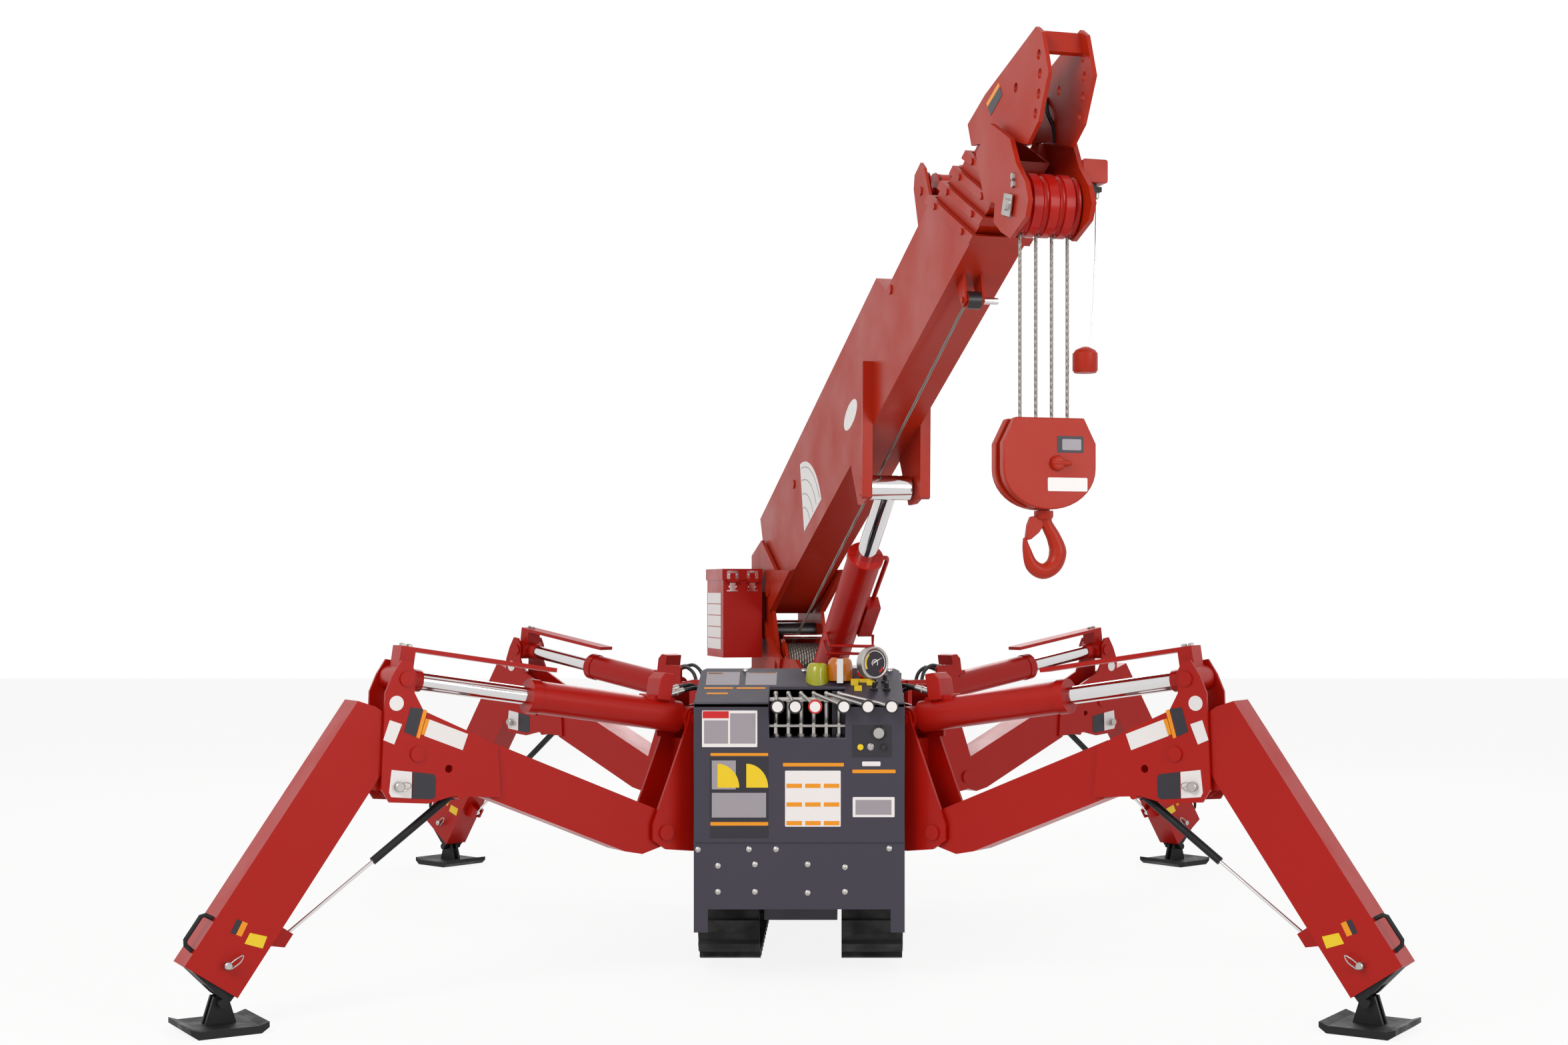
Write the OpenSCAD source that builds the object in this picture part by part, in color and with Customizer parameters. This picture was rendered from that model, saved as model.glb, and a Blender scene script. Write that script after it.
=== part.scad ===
// Spider crane on tracks, standing on its four outrigger legs.
// Origin: slewing axis at the ground. X runs across the machine, the console faces -Y, Z is up.

/* [Chassis] */
// Width over the tracks and the console
body_w = 600; // [560:10:640]
// Height of the tracks' shoes above the ground while the legs carry the machine
track_lift = 30; // [10:5:60]
// Height of a track
track_h = 310; // [300:5:316]
// Width of a track
track_w = 180; // [160:5:185]
// Front end of the tracks
track_front_y = -900; // [-910:5:-890]
// Rear end of the tracks
track_rear_y = 700; // [680:5:720]
// Number of shoes on each straight run of a track
shoe_count = 17; // [12:1:20]
// Height of a shoe's bar
shoe_h = 12; // [8:1:14]
// Thickness of the belt that carries the shoes
belt_t = 12; // [8:1:14]
// Radius of the slewing ring
ring_r = 230; // [210:5:240]
// Top of the slewing ring
ring_top_z = 640; // [620:5:650]
// Top of the engine hood
hood_top_z = 850; // [800:10:860]
// Width of the engine hood
hood_w = 410; // [380:10:416]

/* [Console] */
// Depth of the console's front box beside the legs
console_side_d = 68; // [50:2:70]
// Front face of the console
console_front_y = -1060; // [-1080:5:-1050]
// Back edge of the console's sloping top
console_back_y = -862; // [-875:1:-858]
// Width of the sloping top at its back edge
console_back_w = 580; // [570:2:600]
// Lower edge of the console's front face
console_low_z = 408; // [400:2:420]
// Upper edge of the console's front face
console_front_z = 748; // [730:2:760]
// Back edge of the sloping top
console_back_z = 897; // [880:1:900]
// Thickness of the sloping top
console_top_t = 14; // [8:1:20]
// Lower edge of the cover under the console
cover_low_z = 152; // [140:2:180]
// Number of control levers
lever_count = 6; // [4:1:6]
// Radius of the pressure gauge
gauge_r = 45; // [35:1:46]

/* [Legs] */
// Side distance of the front legs' swing posts
front_post_x = 139; // [130:1:150]
// Place of the front legs' swing posts along the machine
front_post_y = -791; // [-800:1:-780]
// Angle of a front leg from the machine's side
front_angle = 33.15; // [30:0.05:35]
// Side distance of the rear legs' swing posts
rear_post_x = 284; // [280:1:290]
// Place of the rear legs' swing posts along the machine
rear_post_y = 622; // [610:1:640]
// Angle of a rear leg from the machine's side
rear_angle = 40.75; // [35:0.05:45]
// Distance of the arm's pivot from the swing axis
arm_r = 334; // [325:1:345]
// Height of the arm's pivot
arm_z = 434; // [425:1:440]
// Slope of the inner arm
arm_slope = 22.6; // [21:0.1:24]
// Depth of the inner arm's box
arm_depth = 144; // [130:2:150]
// How far the arm's top face lies above its pivot
arm_over = 53; // [45:1:60]
// Distance of the knee hinge from the swing axis
knee_r = 1081; // [1070:1:1095]
// Height of the knee hinge
knee_z = 689; // [680:1:700]
// Half the width over the knee plates
knee_half_w = 62; // [60:1:66]
// Thickness of a knee plate
knee_t = 8; // [6:1:8]
// Length of the outer leg below the knee hinge
leg_len = 768; // [740:2:770]
// Depth of the outer leg's tube
leg_depth = 164; // [150:2:164]
// Width of the outer leg's tube
leg_w = 98; // [90:1:98]
// Wall of the outer leg's tube
leg_wall = 6; // [4:1:8]
// Distance of the outer leg's inner face from the knee hinge
leg_offset = 50; // [48:1:54]
// Height of the foot's ball pin
foot_pin_z = 74; // [70:1:80]
// Side of the square foot pad
pad_w = 200; // [180:5:220]
// Thickness of the foot pad
pad_t = 20; // [16:1:24]

/* [Outrigger cylinder] */
// Distance of the barrel's pin from the swing axis
jack_r = 230; // [222:1:236]
// Height of the barrel's pin
jack_z = 755; // [748:1:758]
// How far the rod's pin stands outside the knee hinge
rod_pin_out = 29; // [20:1:34]
// Height of the rod's pin
rod_pin_z = 890; // [885:1:895]
// Radius of the barrel
jack_barrel_r = 46; // [40:1:46]
// Radius of the rod
jack_rod_r = 25; // [20:1:28]
// Length of the barrel from its pin to its gland
jack_barrel_len = 506; // [496:1:514]

/* [Column and boom] */
// Slewing angle at rest
slew_angle = 16.2; // [0:0.1:30]
// Boom angle at rest
boom_angle = 25.2; // [20:0.1:30]
// Distance of the boom's pivot behind the slewing axis
pivot_back = 126; // [115:1:135]
// Height of the boom's pivot
pivot_z = 1130; // [1110:2:1150]
// Half the distance between the column's side plates
column_gap = 78; // [78:1:82]
// Thickness of a column side plate
column_t = 12; // [8:1:14]
// Width of the base section
base_w = 145; // [140:1:146]
// Height of the base section
base_h = 277; // [270:1:280]
// Height of the channel on the base section
channel_h = 84; // [70:2:90]
// Wall of a boom section
boom_wall = 4; // [3:0.5:5]
// Gap between one section and the next at the sides
section_gap_w = 3; // [2:0.5:3.5]
// Gap between one section and the next above and below
section_gap_h = 6; // [4:0.5:8]
// Length of the base section along its top, from the pivot
base_len = 1950; // [1900:10:1960]
// How far each collar stands in front of the one before
collar_step = 71; // [68:1:75]
// Thickness of a collar along the boom
collar_t = 34; // [26:1:40]
// Slant of the sections' ends
end_slant = 39.6; // [38:0.1:41]
// How far the head's sheave pin stands in front of the base section's top
head_ahead = 494; // [480:2:510]
// Distance of the head's sheave pin below the pivot's line
head_b = -149; // [-155:1:-140]

/* [Lift cylinder and winch] */
// Distance of the lift cylinder's pin in front of the slewing axis
lift_u = 150; // [140:1:160]
// Height of the lift cylinder's pin
lift_z = 768; // [760:1:775]
// Radius of the lift cylinder's barrel
lift_barrel_r = 52; // [46:1:54]
// Radius of the lift cylinder's rod
lift_rod_r = 30; // [25:1:32]
// Length of the lift cylinder's barrel
lift_barrel_len = 714; // [700:2:725]
// Place of the lift cylinder's eye along the boom
eye_a = 1074; // [1065:1:1085]
// Place of the lift cylinder's eye below the pivot's line
eye_b = -179; // [-185:1:-175]
// Radius of the winch drum's flanges
drum_r = 82; // [70:1:85]

/* [Hook] */
// Top of the hook block
block_top_z = 1532; // [1500:2:1560]
// Height of the hook block
block_h = 216; // [200:2:230]
// Width of the hook block
block_w = 233; // [220:1:240]
// Thickness of the hook block
block_d = 84; // [70:2:90]

/* [Hidden] */
$fn = 48;
pin_fit = 0.1;
seat = 0.3;
corners = ["fl", "fr", "rl", "rr"];
leg_parts = ["swing_bracket", "inner_arm", "jack_barrel", "jack_rod", "outer_leg", "inner_leg",
    "foot_pad", "strut_tube", "strut_rod"];
body_parts = ["chassis_frame", "running_gear", "tracks", "console_body", "lower_cover",
    "console_controls", "beacons", "engine_hood", "column", "winch_drum", "tool_box",
    "tool_box_lid", "base_section", "section_two", "section_three", "section_four", "boom_head",
    "head_sheaves", "lift_barrel", "lift_rod", "hoist_ropes", "hook_block", "hook"];

paint_red = [0.60, 0.10, 0.03];
paint_dark = [0.20, 0.19, 0.24];
steel = [0.75, 0.75, 0.75];
black = [0.08, 0.08, 0.08];

// Helpers

// An outline in the plane of x and z, made w thick about y = 0
module across(w) {
    translate([0, w / 2, 0])
        rotate([90, 0, 0])
            linear_extrude(w)
                children();
}

// A round bar along y at x, z
module cross_pin(x, z, r, w) {
    translate([x, w / 2, z])
        rotate([90, 0, 0])
            cylinder(r = r, h = w);
}

// The same child on both sides, its own y from 0 outward
module both_sides(gap) {
    for (side = [-1, 1])
        translate([0, side * gap, 0])
            children();
}

// Chassis

post_bottom_z = 376;
post_top_z = 804;
lug_t = 22;
post_r = 45;
post_pin_r = 28;
frame_half_w = body_w / 2 - track_w - 12;
deck_z = 345;
deck_t = 20;
wing_x = hood_w / 2;
wing_t = 16;
front_plate_back = 70;

module chassis_frame() {
    color(paint_dark) {
        difference() {
            union() {
                translate([-frame_half_w, track_front_y + 90, 150])
                    cube([2 * frame_half_w, track_rear_y - track_front_y - 130, deck_z - 150]);
                translate([-260, -650, deck_z])
                    cube([520, 1340, deck_t]);
                translate([0, 0, deck_z + deck_t])
                    cylinder(r = ring_r - 20, h = ring_top_z - deck_z - deck_t - 40);
                translate([0, 0, ring_top_z - 40])
                    cylinder(r = ring_r, h = 40);
                for (side = [-1, 1])
                    translate([side * front_post_x, front_post_y, 0])
                        rotate([0, 0, 90])
                            post_lugs(80);
                translate([rear_post_x, rear_post_y, 0])
                    rotate([0, 0, 180])
                        post_lugs(rear_post_x - wing_x);
                translate([-rear_post_x, rear_post_y, 0])
                    post_lugs(rear_post_x - wing_x);
                translate([-front_post_x - 50, front_post_y + front_plate_back, deck_z])
                    cube([2 * front_post_x + 100, 24, post_top_z + lug_t - deck_z]);
                for (side = [-1, 1])
                    translate([side * (wing_x + wing_t / 2) - wing_t / 2, rear_post_y - 90, deck_z])
                        cube([wing_t, 160, post_top_z + lug_t - deck_z]);
            }
        }
    }
}

// The two lugs and the hinge pin of one leg about the z axis, reaching out along x
module post_lugs(reach) {
    for (z = [post_bottom_z - lug_t - seat, post_top_z + seat]) {
        translate([0, 0, z])
            cylinder(r = post_r + 8, h = lug_t);
        translate([0, -post_r, z])
            cube([reach, 2 * post_r, lug_t]);
    }
    translate([0, 0, post_bottom_z - lug_t])
        cylinder(r = post_pin_r, h = post_top_z - post_bottom_z + 2 * lug_t);
}

// Tracks

wheel_r = track_h / 2 - shoe_h - belt_t;
track_mid_z = track_lift + track_h / 2;
wheel_front_y = track_front_y + track_h / 2;
wheel_rear_y = track_rear_y - track_h / 2;
track_mid_x = body_w / 2 - track_w / 2;
shoe_share = 0.48;

// Rounded outline of a track at distance r from the wheels' centres, seen from the side
module loop_outline(r) {
    for (y = [wheel_front_y, wheel_rear_y])
        translate([y, 0])
            circle(r = r);
    translate([wheel_front_y, -r])
        square([wheel_rear_y - wheel_front_y, 2 * r]);
}

module one_track() {
    belt_r = wheel_r + belt_t;
    run = wheel_rear_y - wheel_front_y;
    pitch = run / shoe_count;
    end_count = round(PI * belt_r / pitch);
    translate([0, 0, track_mid_z])
        rotate([90, 0, 90])
            translate([0, 0, -track_w / 2])
                linear_extrude(track_w)
                    difference() {
                        union() {
                            loop_outline(belt_r);
                            for (i = [0 : shoe_count - 1])
                                translate([wheel_front_y + (i + 0.5 - shoe_share / 2) * pitch,
                                        -belt_r - shoe_h])
                                    square([pitch * shoe_share, 2 * (belt_r + shoe_h)]);
                            for (i = [0 : end_count - 1]) {
                                turn = 90 + 180 * (i + 0.5) / end_count;
                                shoe_at(wheel_front_y, turn, belt_r, pitch);
                                shoe_at(wheel_rear_y, turn + 180, belt_r, pitch);
                            }
                        }
                        loop_outline(wheel_r);
                    }
}

module shoe_at(y, turn, belt_r, pitch) {
    translate([y, 0])
        rotate(turn)
            translate([belt_r - 3, -pitch * shoe_share / 2])
                square([shoe_h + 3, pitch * shoe_share]);
}

module tracks() {
    color(black)
        for (side = [-1, 1])
            translate([side * track_mid_x, 0, 0])
                one_track();
}

roller_r = 40;
roller_count = 6;
roller_pitch = (wheel_rear_y - wheel_front_y) / (roller_count + 1);

module running_gear() {
    color([0.15, 0.15, 0.16])
        for (side = [-1, 1])
            translate([side * track_mid_x, 0, 0]) {
                for (y = [wheel_front_y, wheel_rear_y])
                    translate([-track_w / 4, y, track_mid_z])
                        rotate([0, 90, 0])
                            cylinder(r = wheel_r - seat, h = track_w / 2);
                for (i = [1 : roller_count])
                    translate([-track_w / 3, wheel_front_y + i * roller_pitch,
                            track_mid_z - wheel_r + seat + roller_r])
                        rotate([0, 90, 0])
                            cylinder(r = roller_r, h = track_w * 2 / 3);
                translate([-track_w / 5, wheel_front_y - 30, track_mid_z - 60])
                    cube([track_w * 2 / 5, wheel_rear_y - wheel_front_y + 60, 110]);
                for (y = [-420, 300])
                    translate([side > 0 ? -track_w / 2 - 12 : track_w / 5 - 1, y - 60, track_mid_z - 50])
                        cube([track_w * 3 / 10 + 13, 120, 90]);
            }
}

// Console and covers

// Cut corner at the back of the sloping top
top_corner = 14;

module console_shell() {
    color(paint_dark) {
        across_x(body_w)
            polygon([[console_front_y, console_low_z], [console_front_y + console_side_d, console_low_z],
                [console_front_y + console_side_d, slope_z(console_front_y + console_side_d)],
                [console_front_y, console_front_z]]);
        across_x(190)
            polygon([[console_front_y + console_side_d - 1, console_low_z], [console_back_y, console_low_z],
                [console_back_y, console_back_z],
                [console_front_y + console_side_d - 1, slope_z(console_front_y + console_side_d - 1)]]);
        intersection() {
            across_x(body_w)
                polygon([[console_front_y, console_front_z], [console_back_y, console_back_z],
                    [console_back_y, console_back_z - console_top_t],
                    [console_front_y, console_front_z - console_top_t]]);
            linear_extrude(console_back_z + 1)
                polygon([[-body_w / 2, console_front_y - 1], [body_w / 2, console_front_y - 1],
                    [console_back_w / 2, console_back_y - top_corner],
                    [console_back_w / 2 - top_corner, console_back_y + 1],
                    [top_corner - console_back_w / 2, console_back_y + 1],
                    [-console_back_w / 2, console_back_y - top_corner]]);
        }
        translate([-80, console_back_y - 1, console_low_z])
            cube([160, front_post_y + front_plate_back - console_back_y + 1, 120]);
    }
}

module console_body() {
    difference() {
        console_shell();
        translate([recess_x[0], console_front_y - 1, recess_floor_z])
            cube([recess_x[1] - recess_x[0], recess_back_y - console_front_y + 1,
                console_back_z - recess_floor_z]);
    }
}

// An outline in the plane of y and z, made w wide about x = 0
module across_x(w) {
    translate([-w / 2, 0, 0])
        rotate([90, 0, 90])
            linear_extrude(w)
                children();
}

module lower_cover() {
    color(paint_dark)
        difference() {
            translate([-body_w / 2, console_front_y + 6, cover_low_z])
                cube([body_w, 56, console_low_z - cover_low_z]);
            translate([-body_w / 2 + 40, console_front_y - 1, cover_low_z - 1])
                cube([body_w - 80, 70, 218 - cover_low_z + 1]);
            translate([-body_w / 2 + 8, console_front_y + 14, cover_low_z - 1])
                cube([body_w - 16, 60, console_low_z - cover_low_z - 7]);
        }
    color(paint_dark)
        translate([-60, console_front_y + 13, 260])
            cube([120, track_front_y + 90 - console_front_y - 13, 60]);
}

// Everything under the console's sloping top, grown by a seat
module under_slope() {
    rise = (console_back_z - console_front_z) / (console_back_y - console_front_y);
    across_x(body_w + 40)
        polygon([[console_front_y - 100, 0], [console_back_y + 100, 0],
            [console_back_y + 100, console_back_z + seat + 100 * rise],
            [console_front_y - 100, console_front_z + seat - 100 * rise]]);
}

// Recess for the levers in the console's upper front edge
recess_x = [-86, 131];
recess_back_y = -935;
recess_floor_z = 706;
lever_pitch = (recess_x[1] - recess_x[0]) / lever_count;
lever_y = -985;
lever_top_z = 830;
lever_r = 7;
knob_r = 17;
// Places of the knobs along x, from the first lever on
knob_x = [-60, -10, 46, 127, 195, 262];
knob_y = -1088;
knob_z = 797;
gauge_at = [207, -1056, 919];
gauge_turn = 35;
gauge_d = 25;
gauge_foot_y = -914;
gauge_pipe_r = 6;

// A round bar from the place p to the place q
module bar(p, q, r) {
    run = q - p;
    flat = norm([run[0], run[1]]);
    translate(p)
        rotate([0, atan2(flat, run[2]), atan2(run[1], run[0])])
            cylinder(r = r, h = norm(run));
}

// Height of the console's sloping top at y
function slope_z(y) = console_front_z
    + (y - console_front_y) * (console_back_z - console_front_z) / (console_back_y - console_front_y);

module console_controls() {
    color(steel)
        for (i = [0 : lever_count - 1]) {
            root = [recess_x[0] + (i + 0.5) * lever_pitch, lever_y, recess_floor_z + seat];
            translate(root)
                cylinder(r = lever_r + 4, h = 6, $fn = 24);
            bend = [root[0], lever_y - 25, lever_top_z];
            bar(root + [0, 0, 3], bend, lever_r, $fn = 16);
            translate(bend)
                sphere(r = lever_r, $fn = 12);
            bar(bend, [knob_x[i], knob_y, knob_z], lever_r - 2, $fn = 16);
            translate([knob_x[i], knob_y, knob_z])
                sphere(r = knob_r, $fn = 20);
        }
    color(steel) {
        translate(gauge_at)
            rotate([90, 0, gauge_turn])
                cylinder(r = gauge_r, h = gauge_d, center = true);
        foot = [gauge_at[0], gauge_foot_y, slope_z(gauge_foot_y)];
        elbow = [gauge_at[0], gauge_foot_y - 12, foot[2] + 14];
        difference() {
            bar(foot - [0, 0, 10], elbow, gauge_pipe_r);
            under_slope();
        }
        translate(elbow)
            sphere(r = gauge_pipe_r, $fn = 12);
        bar(elbow, [gauge_at[0], gauge_at[1], gauge_at[2] - gauge_r + 8], gauge_pipe_r);
    }
}

lime_at = [50, -930, 915];
amber_at = [116, -930, 930];

module beacons() {
    difference() {
        union() {
            color([0.6, 0.6, 0.05])
                beacon(lime_at, 34);
            color([0.9, 0.5, 0.05])
                beacon(amber_at, 36);
        }
        under_slope();
    }
}

// A lamp whose top is at the place p
module beacon(p, r) {
    translate([p[0], p[1], console_front_z])
        cylinder(r = r, h = p[2] - console_front_z);
}

module engine_hood() {
    color(paint_dark)
        difference() {
            union() {
                translate([-wing_x, hood_y, deck_z + deck_t])
                    cube([hood_w, hood_step_y - hood_y + 1, ring_top_z - 25 - deck_z - deck_t]);
                translate([-wing_x, 0, 0])
                    rotate([90, 0, 90])
                        linear_extrude(hood_w)
                            polygon([[hood_step_y, deck_z + deck_t], [hood_end_y, deck_z + deck_t],
                                [hood_end_y, hood_top_z - 45], [hood_end_y - 45, hood_top_z],
                                [hood_step_y, hood_top_z]]);
            }
            for (i = [0 : louvre_count - 1])
                translate([-louvre_w / 2, hood_end_y - 6, deck_z + 150 + i * louvre_pitch])
                    cube([louvre_w, 7, louvre_pitch / 2]);
            translate([-wing_x - 1, hood_end_y - 60, hood_top_z - 130])
                cube([hood_w + 2, 61, 2]);
        }
}

louvre_count = 8;
louvre_pitch = 26;
louvre_w = 300;

hood_y = 250;
hood_step_y = 425;
hood_end_y = 745;

// Column

// Height of the side plates' tops above the boom's pivot
column_over = 63;

module column_outline() {
    top = pivot_z + column_over;
    shelf = drum_z + 20;
    polygon([[-390, ring_top_z + 30], [-390, top + 53], [-250, top + 104], [-60, top], [168, top],
        [-95, pivot_z - 74], [-20, shelf], [200, shelf], [290, shelf - 40], [290, ring_top_z + 30]]);
}

module slew_place() {
    rotate([0, 0, slew_angle - 90])
        children();
}

module boom_place() {
    slew_place()
        translate([-pivot_back, 0, pivot_z])
            rotate([0, -boom_angle, 0])
                children();
}

pivot_pin_r = 27;
lift_pin_r = 24;
drum_u = -60;
drum_z = 880;
drum_shaft_r = 22;

doubler_t = 8;
column_roller = [drum_u - 90, drum_z + 108];
brace_w = 36;
brace_t = 10;

// A flat bar's outline from the place p to the place q
module strip(p, q, w) {
    translate(p)
        rotate(atan2(q[1] - p[1], q[0] - p[0]))
            translate([0, -w / 2])
                square([norm(q - p), w]);
}

module column() {
    color(paint_red)
        slew_place() {
            translate([0, 0, ring_top_z + seat])
                cylinder(r = ring_r + 5, h = 30);
            both_sides(column_gap + column_t / 2)
                across(column_t)
                    column_outline();
            translate([-400, -column_gap, ring_top_z + seat])
                cube([12, 2 * column_gap, 380]);
            translate([-400, -column_gap - column_t, ring_top_z + seat])
                cube([690, 2 * (column_gap + column_t), 30]);
            both_sides(column_gap + column_t + doubler_t / 2 - 0.1)
                across(doubler_t)
                    polygon([[-177, pivot_z + column_over], [160, pivot_z + column_over - 3],
                        [-108, pivot_z - 78]]);
            translate([0, -column_gap - column_t - brace_t / 2 + 0.1, 0])
                across(brace_t)
                    strip([-214, pivot_z - 113], [39, drum_z + 2], brace_w);
            cross_pin(-pivot_back, pivot_z, pivot_pin_r, 2 * (column_gap + column_t + doubler_t) + 8);
            cross_pin(lift_u, lift_z, lift_pin_r, 2 * (column_gap + column_t) + 12);
            cross_pin(drum_u, drum_z, drum_shaft_r, 2 * (column_gap + column_t) + 12);
            cross_pin(column_roller[0], column_roller[1], 26, 2 * column_gap + 2);
            translate([-360, -112, 960])
                cube([160, 22, 160]);
        }
}

module winch_drum() {
    color(steel)
        slew_place()
            difference() {
                union() {
                    cross_pin(drum_u, drum_z, 58, 2 * column_gap - 10);
                    for (side = [-1, 1])
                        translate([0, side * (column_gap - 11), 0])
                            cross_pin(drum_u, drum_z, drum_r, 10);
                }
                cross_pin(drum_u, drum_z, drum_shaft_r + pin_fit, 2 * column_gap + 4);
            }
}

// Extents of the tool box along u, across and up
box_u = [-397, -150];
box_t = [-247, -112];
box_z = [898, 1176];
box_size = [box_u[1] - box_u[0], box_t[1] - box_t[0], box_z[1] - box_z[0]];
box_wall = 2;
lid_wall = 2;
lid_fit = 2;
lid_lip = 16;
lid_top = 22;
hinge_t = [-215, -147];
hinge_len = 40;
hinge_knuckle_r = 4.5;
hinge_pin_r = 2;
hinge_u = box_u[1] + lid_fit + lid_wall + hinge_knuckle_r;
hinge_z = box_z[1] - lid_lip - hinge_knuckle_r;

module tool_box() {
    color(paint_red)
        slew_place() {
            difference() {
                translate([box_u[0], box_t[0], box_z[0]])
                    cube(box_size - [0, seat, 0]);
                translate([box_u[0] + box_wall, box_t[0] + box_wall, box_z[0] + box_wall])
                    cube([box_size[0] - 2 * box_wall, box_size[1] - 2 * box_wall, box_size[2]]);
            }
            for (t = hinge_t)
                translate([0, t, 0]) {
                    cross_pin(hinge_u, hinge_z, hinge_pin_r, hinge_len);
                    both_sides(3 * hinge_len / 8) {
                        cross_pin(hinge_u, hinge_z, hinge_knuckle_r, hinge_len / 4);
                        translate([box_u[1] - 0.5, -hinge_len / 8, hinge_z - 30])
                            cube([2, hinge_len / 4, 26]);
                        translate([box_u[1] - 0.5, -hinge_len / 8, hinge_z - 6])
                            cube([hinge_u - box_u[1], hinge_len / 4, 4]);
                    }
                }
        }
}

module tool_box_lid() {
    color(paint_red)
        slew_place() {
            difference() {
                translate([box_u[0] - lid_fit - lid_wall, box_t[0] - lid_fit - lid_wall, box_z[1] - lid_lip])
                    cube([box_size[0] + 2 * (lid_fit + lid_wall), box_size[1] + lid_fit + lid_wall,
                        lid_lip + lid_top]);
                translate([box_u[0] - lid_fit, box_t[0] - lid_fit, box_z[1] - lid_lip - 1])
                    cube([box_size[0] + 2 * lid_fit, box_size[1] + lid_fit + 1, lid_lip + 1 + seat]);
            }
            for (t = hinge_t)
                translate([0, t, 0])
                    difference() {
                        union() {
                            cross_pin(hinge_u, hinge_z, hinge_knuckle_r, hinge_len / 2 - 1);
                            translate([hinge_u - hinge_knuckle_r - 0.5, 1 / 2 - hinge_len / 4, hinge_z])
                                cube([2.5, hinge_len / 2 - 1, 28]);
                        }
                        cross_pin(hinge_u, hinge_z, hinge_pin_r + pin_fit, hinge_len);
                    }
        }
}

// Boom

slant = tan(end_slant);
head_a = base_len + head_ahead;
base_top = 225;

function section_w(i) = base_w - 2 * i * (boom_wall + section_gap_w);
function section_h(i) = base_h - 2 * i * (boom_wall + section_gap_h);
function section_top(i) = base_top - i * (boom_wall + section_gap_h);
function section_low(i) = section_top(i) - section_h(i);
function end_a(i) = base_len + i * collar_step;
// Place along the boom of section i's slanted end at the height b
function end_at(i, b) = end_a(i) + (base_top - b) * slant;

// Side outline of section i from a0 to its slanted end, grown by g above and below
module section_side(i, a0, a1, g) {
    top = section_top(i) + g;
    low = section_low(i) - g;
    polygon([[a0, low], [a0, top], [a1 + (base_top - top) * slant, top],
        [a1 + (base_top - low) * slant, low]]);
}

bolt_r = 9;
bolt_h = 5;
bolt_inset = [51, 45];

// Hexagon bolt heads on both side faces of section i's collar
module collar_bolts(i, collar_w) {
    for (b = [section_top(i) - bolt_inset[0], section_low(i) + bolt_inset[1]])
        both_sides(section_w(i) / 2 + collar_w + bolt_h / 2 - 0.1)
            translate([end_at(i, b) - collar_t / 2, bolt_h / 2, b])
                rotate([90, 0, 0])
                    cylinder(r = bolt_r, h = bolt_h, $fn = 6);
}

module section(i, a0, collar_w) {
    if (collar_w > 0)
        collar_bolts(i, collar_w);
    difference() {
        union() {
            across(section_w(i))
                section_side(i, a0, end_a(i), 0);
            if (i > 0) {
                mid = (section_top(i) + section_low(i)) / 2;
                across(section_w(i) + 2 * (section_gap_w - seat))
                    translate([a0, mid - 50])
                        square([60, 100]);
                across(section_w(i) * 0.6)
                    translate([a0, section_low(i) - section_gap_h + seat])
                        square([60, section_h(i) + 2 * (section_gap_h - seat)]);
            }
            across(section_w(i) + 2 * collar_w)
                difference() {
                    section_side(i, a0, end_a(i), collar_w);
                    section_side(i, a0 - 1, end_a(i) - collar_t, collar_w + 1);
                }
        }
        across(section_w(i) - 2 * boom_wall)
            section_side(i, a0 - 1, end_a(i) + 20, -boom_wall);
    }
}

module base_section() {
    color(paint_red)
        boom_place()
            difference() {
                union() {
                    section(0, -85, 9);
                    across(base_w)
                        polygon([[-85, base_top - 2], [-85, base_top + channel_h],
                            [channel_end - channel_h * slant, base_top + channel_h],
                            [channel_end, base_top - 2]]);
                    lift_bracket();
                    guide_housing();
                    under_roller();
                    for (a = side_boss_a)
                        both_sides(base_w / 2 + 2)
                            cross_pin(a, side_boss_b, side_boss_r, 5);
                    cross_pin(0, 0, 52, base_w);
                }
                cross_pin(0, 0, pivot_pin_r + pin_fit, base_w + 4);
            }
}

channel_end = base_len - 450;
side_boss_a = [369, base_len - 418];
side_boss_b = 205;
side_boss_r = 14;
housing_half_w = 60;
housing_t = 8;
guide_r = 48;
guide_at = [base_len - 108, 318];
roller_at = [base_len + 25, -112];
under_roller_r = 22;
under_roller_t = [-40, 0];

// Housing on top of the base section with its guide sheave
module guide_housing() {
    both_sides(housing_half_w - housing_t / 2)
        across(housing_t)
            translate([guide_at[0], 0])
                polygon([[-62, base_top - 1], [-50, 360], [-27, 390], [30, 390], [48, 360],
                    [58, base_top - 1]]);
    across(2 * housing_half_w - 1)
        translate([guide_at[0], 0])
            polygon([[-62, base_top - 1], [-50, 360], [-44, 359], [-56, base_top - 1]]);
    cross_pin(guide_at[0], guide_at[1], 12, 2 * housing_half_w + 8);
    cross_pin(guide_at[0], guide_at[1], guide_r, 26);
}

// Roller under the base section that the winch rope runs over
module under_roller() {
    mid = (under_roller_t[0] + under_roller_t[1]) / 2;
    half = (under_roller_t[1] - under_roller_t[0]) / 2;
    translate([0, mid, 0]) {
        cross_pin(roller_at[0], roller_at[1], under_roller_r, 2 * half - 2);
        cross_pin(roller_at[0], roller_at[1], 8, 2 * half + 24);
        both_sides(half + 4)
            across(6)
                translate(roller_at)
                    polygon([[-30, section_low(0) + 1 - roller_at[1]], [-15, -12], [15, -12],
                        [30, section_low(0) + 1 - roller_at[1]]]);
    }
}

bracket_half_w = 103;
bracket_t = 10;
eye_gap = base_w / 2;

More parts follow.
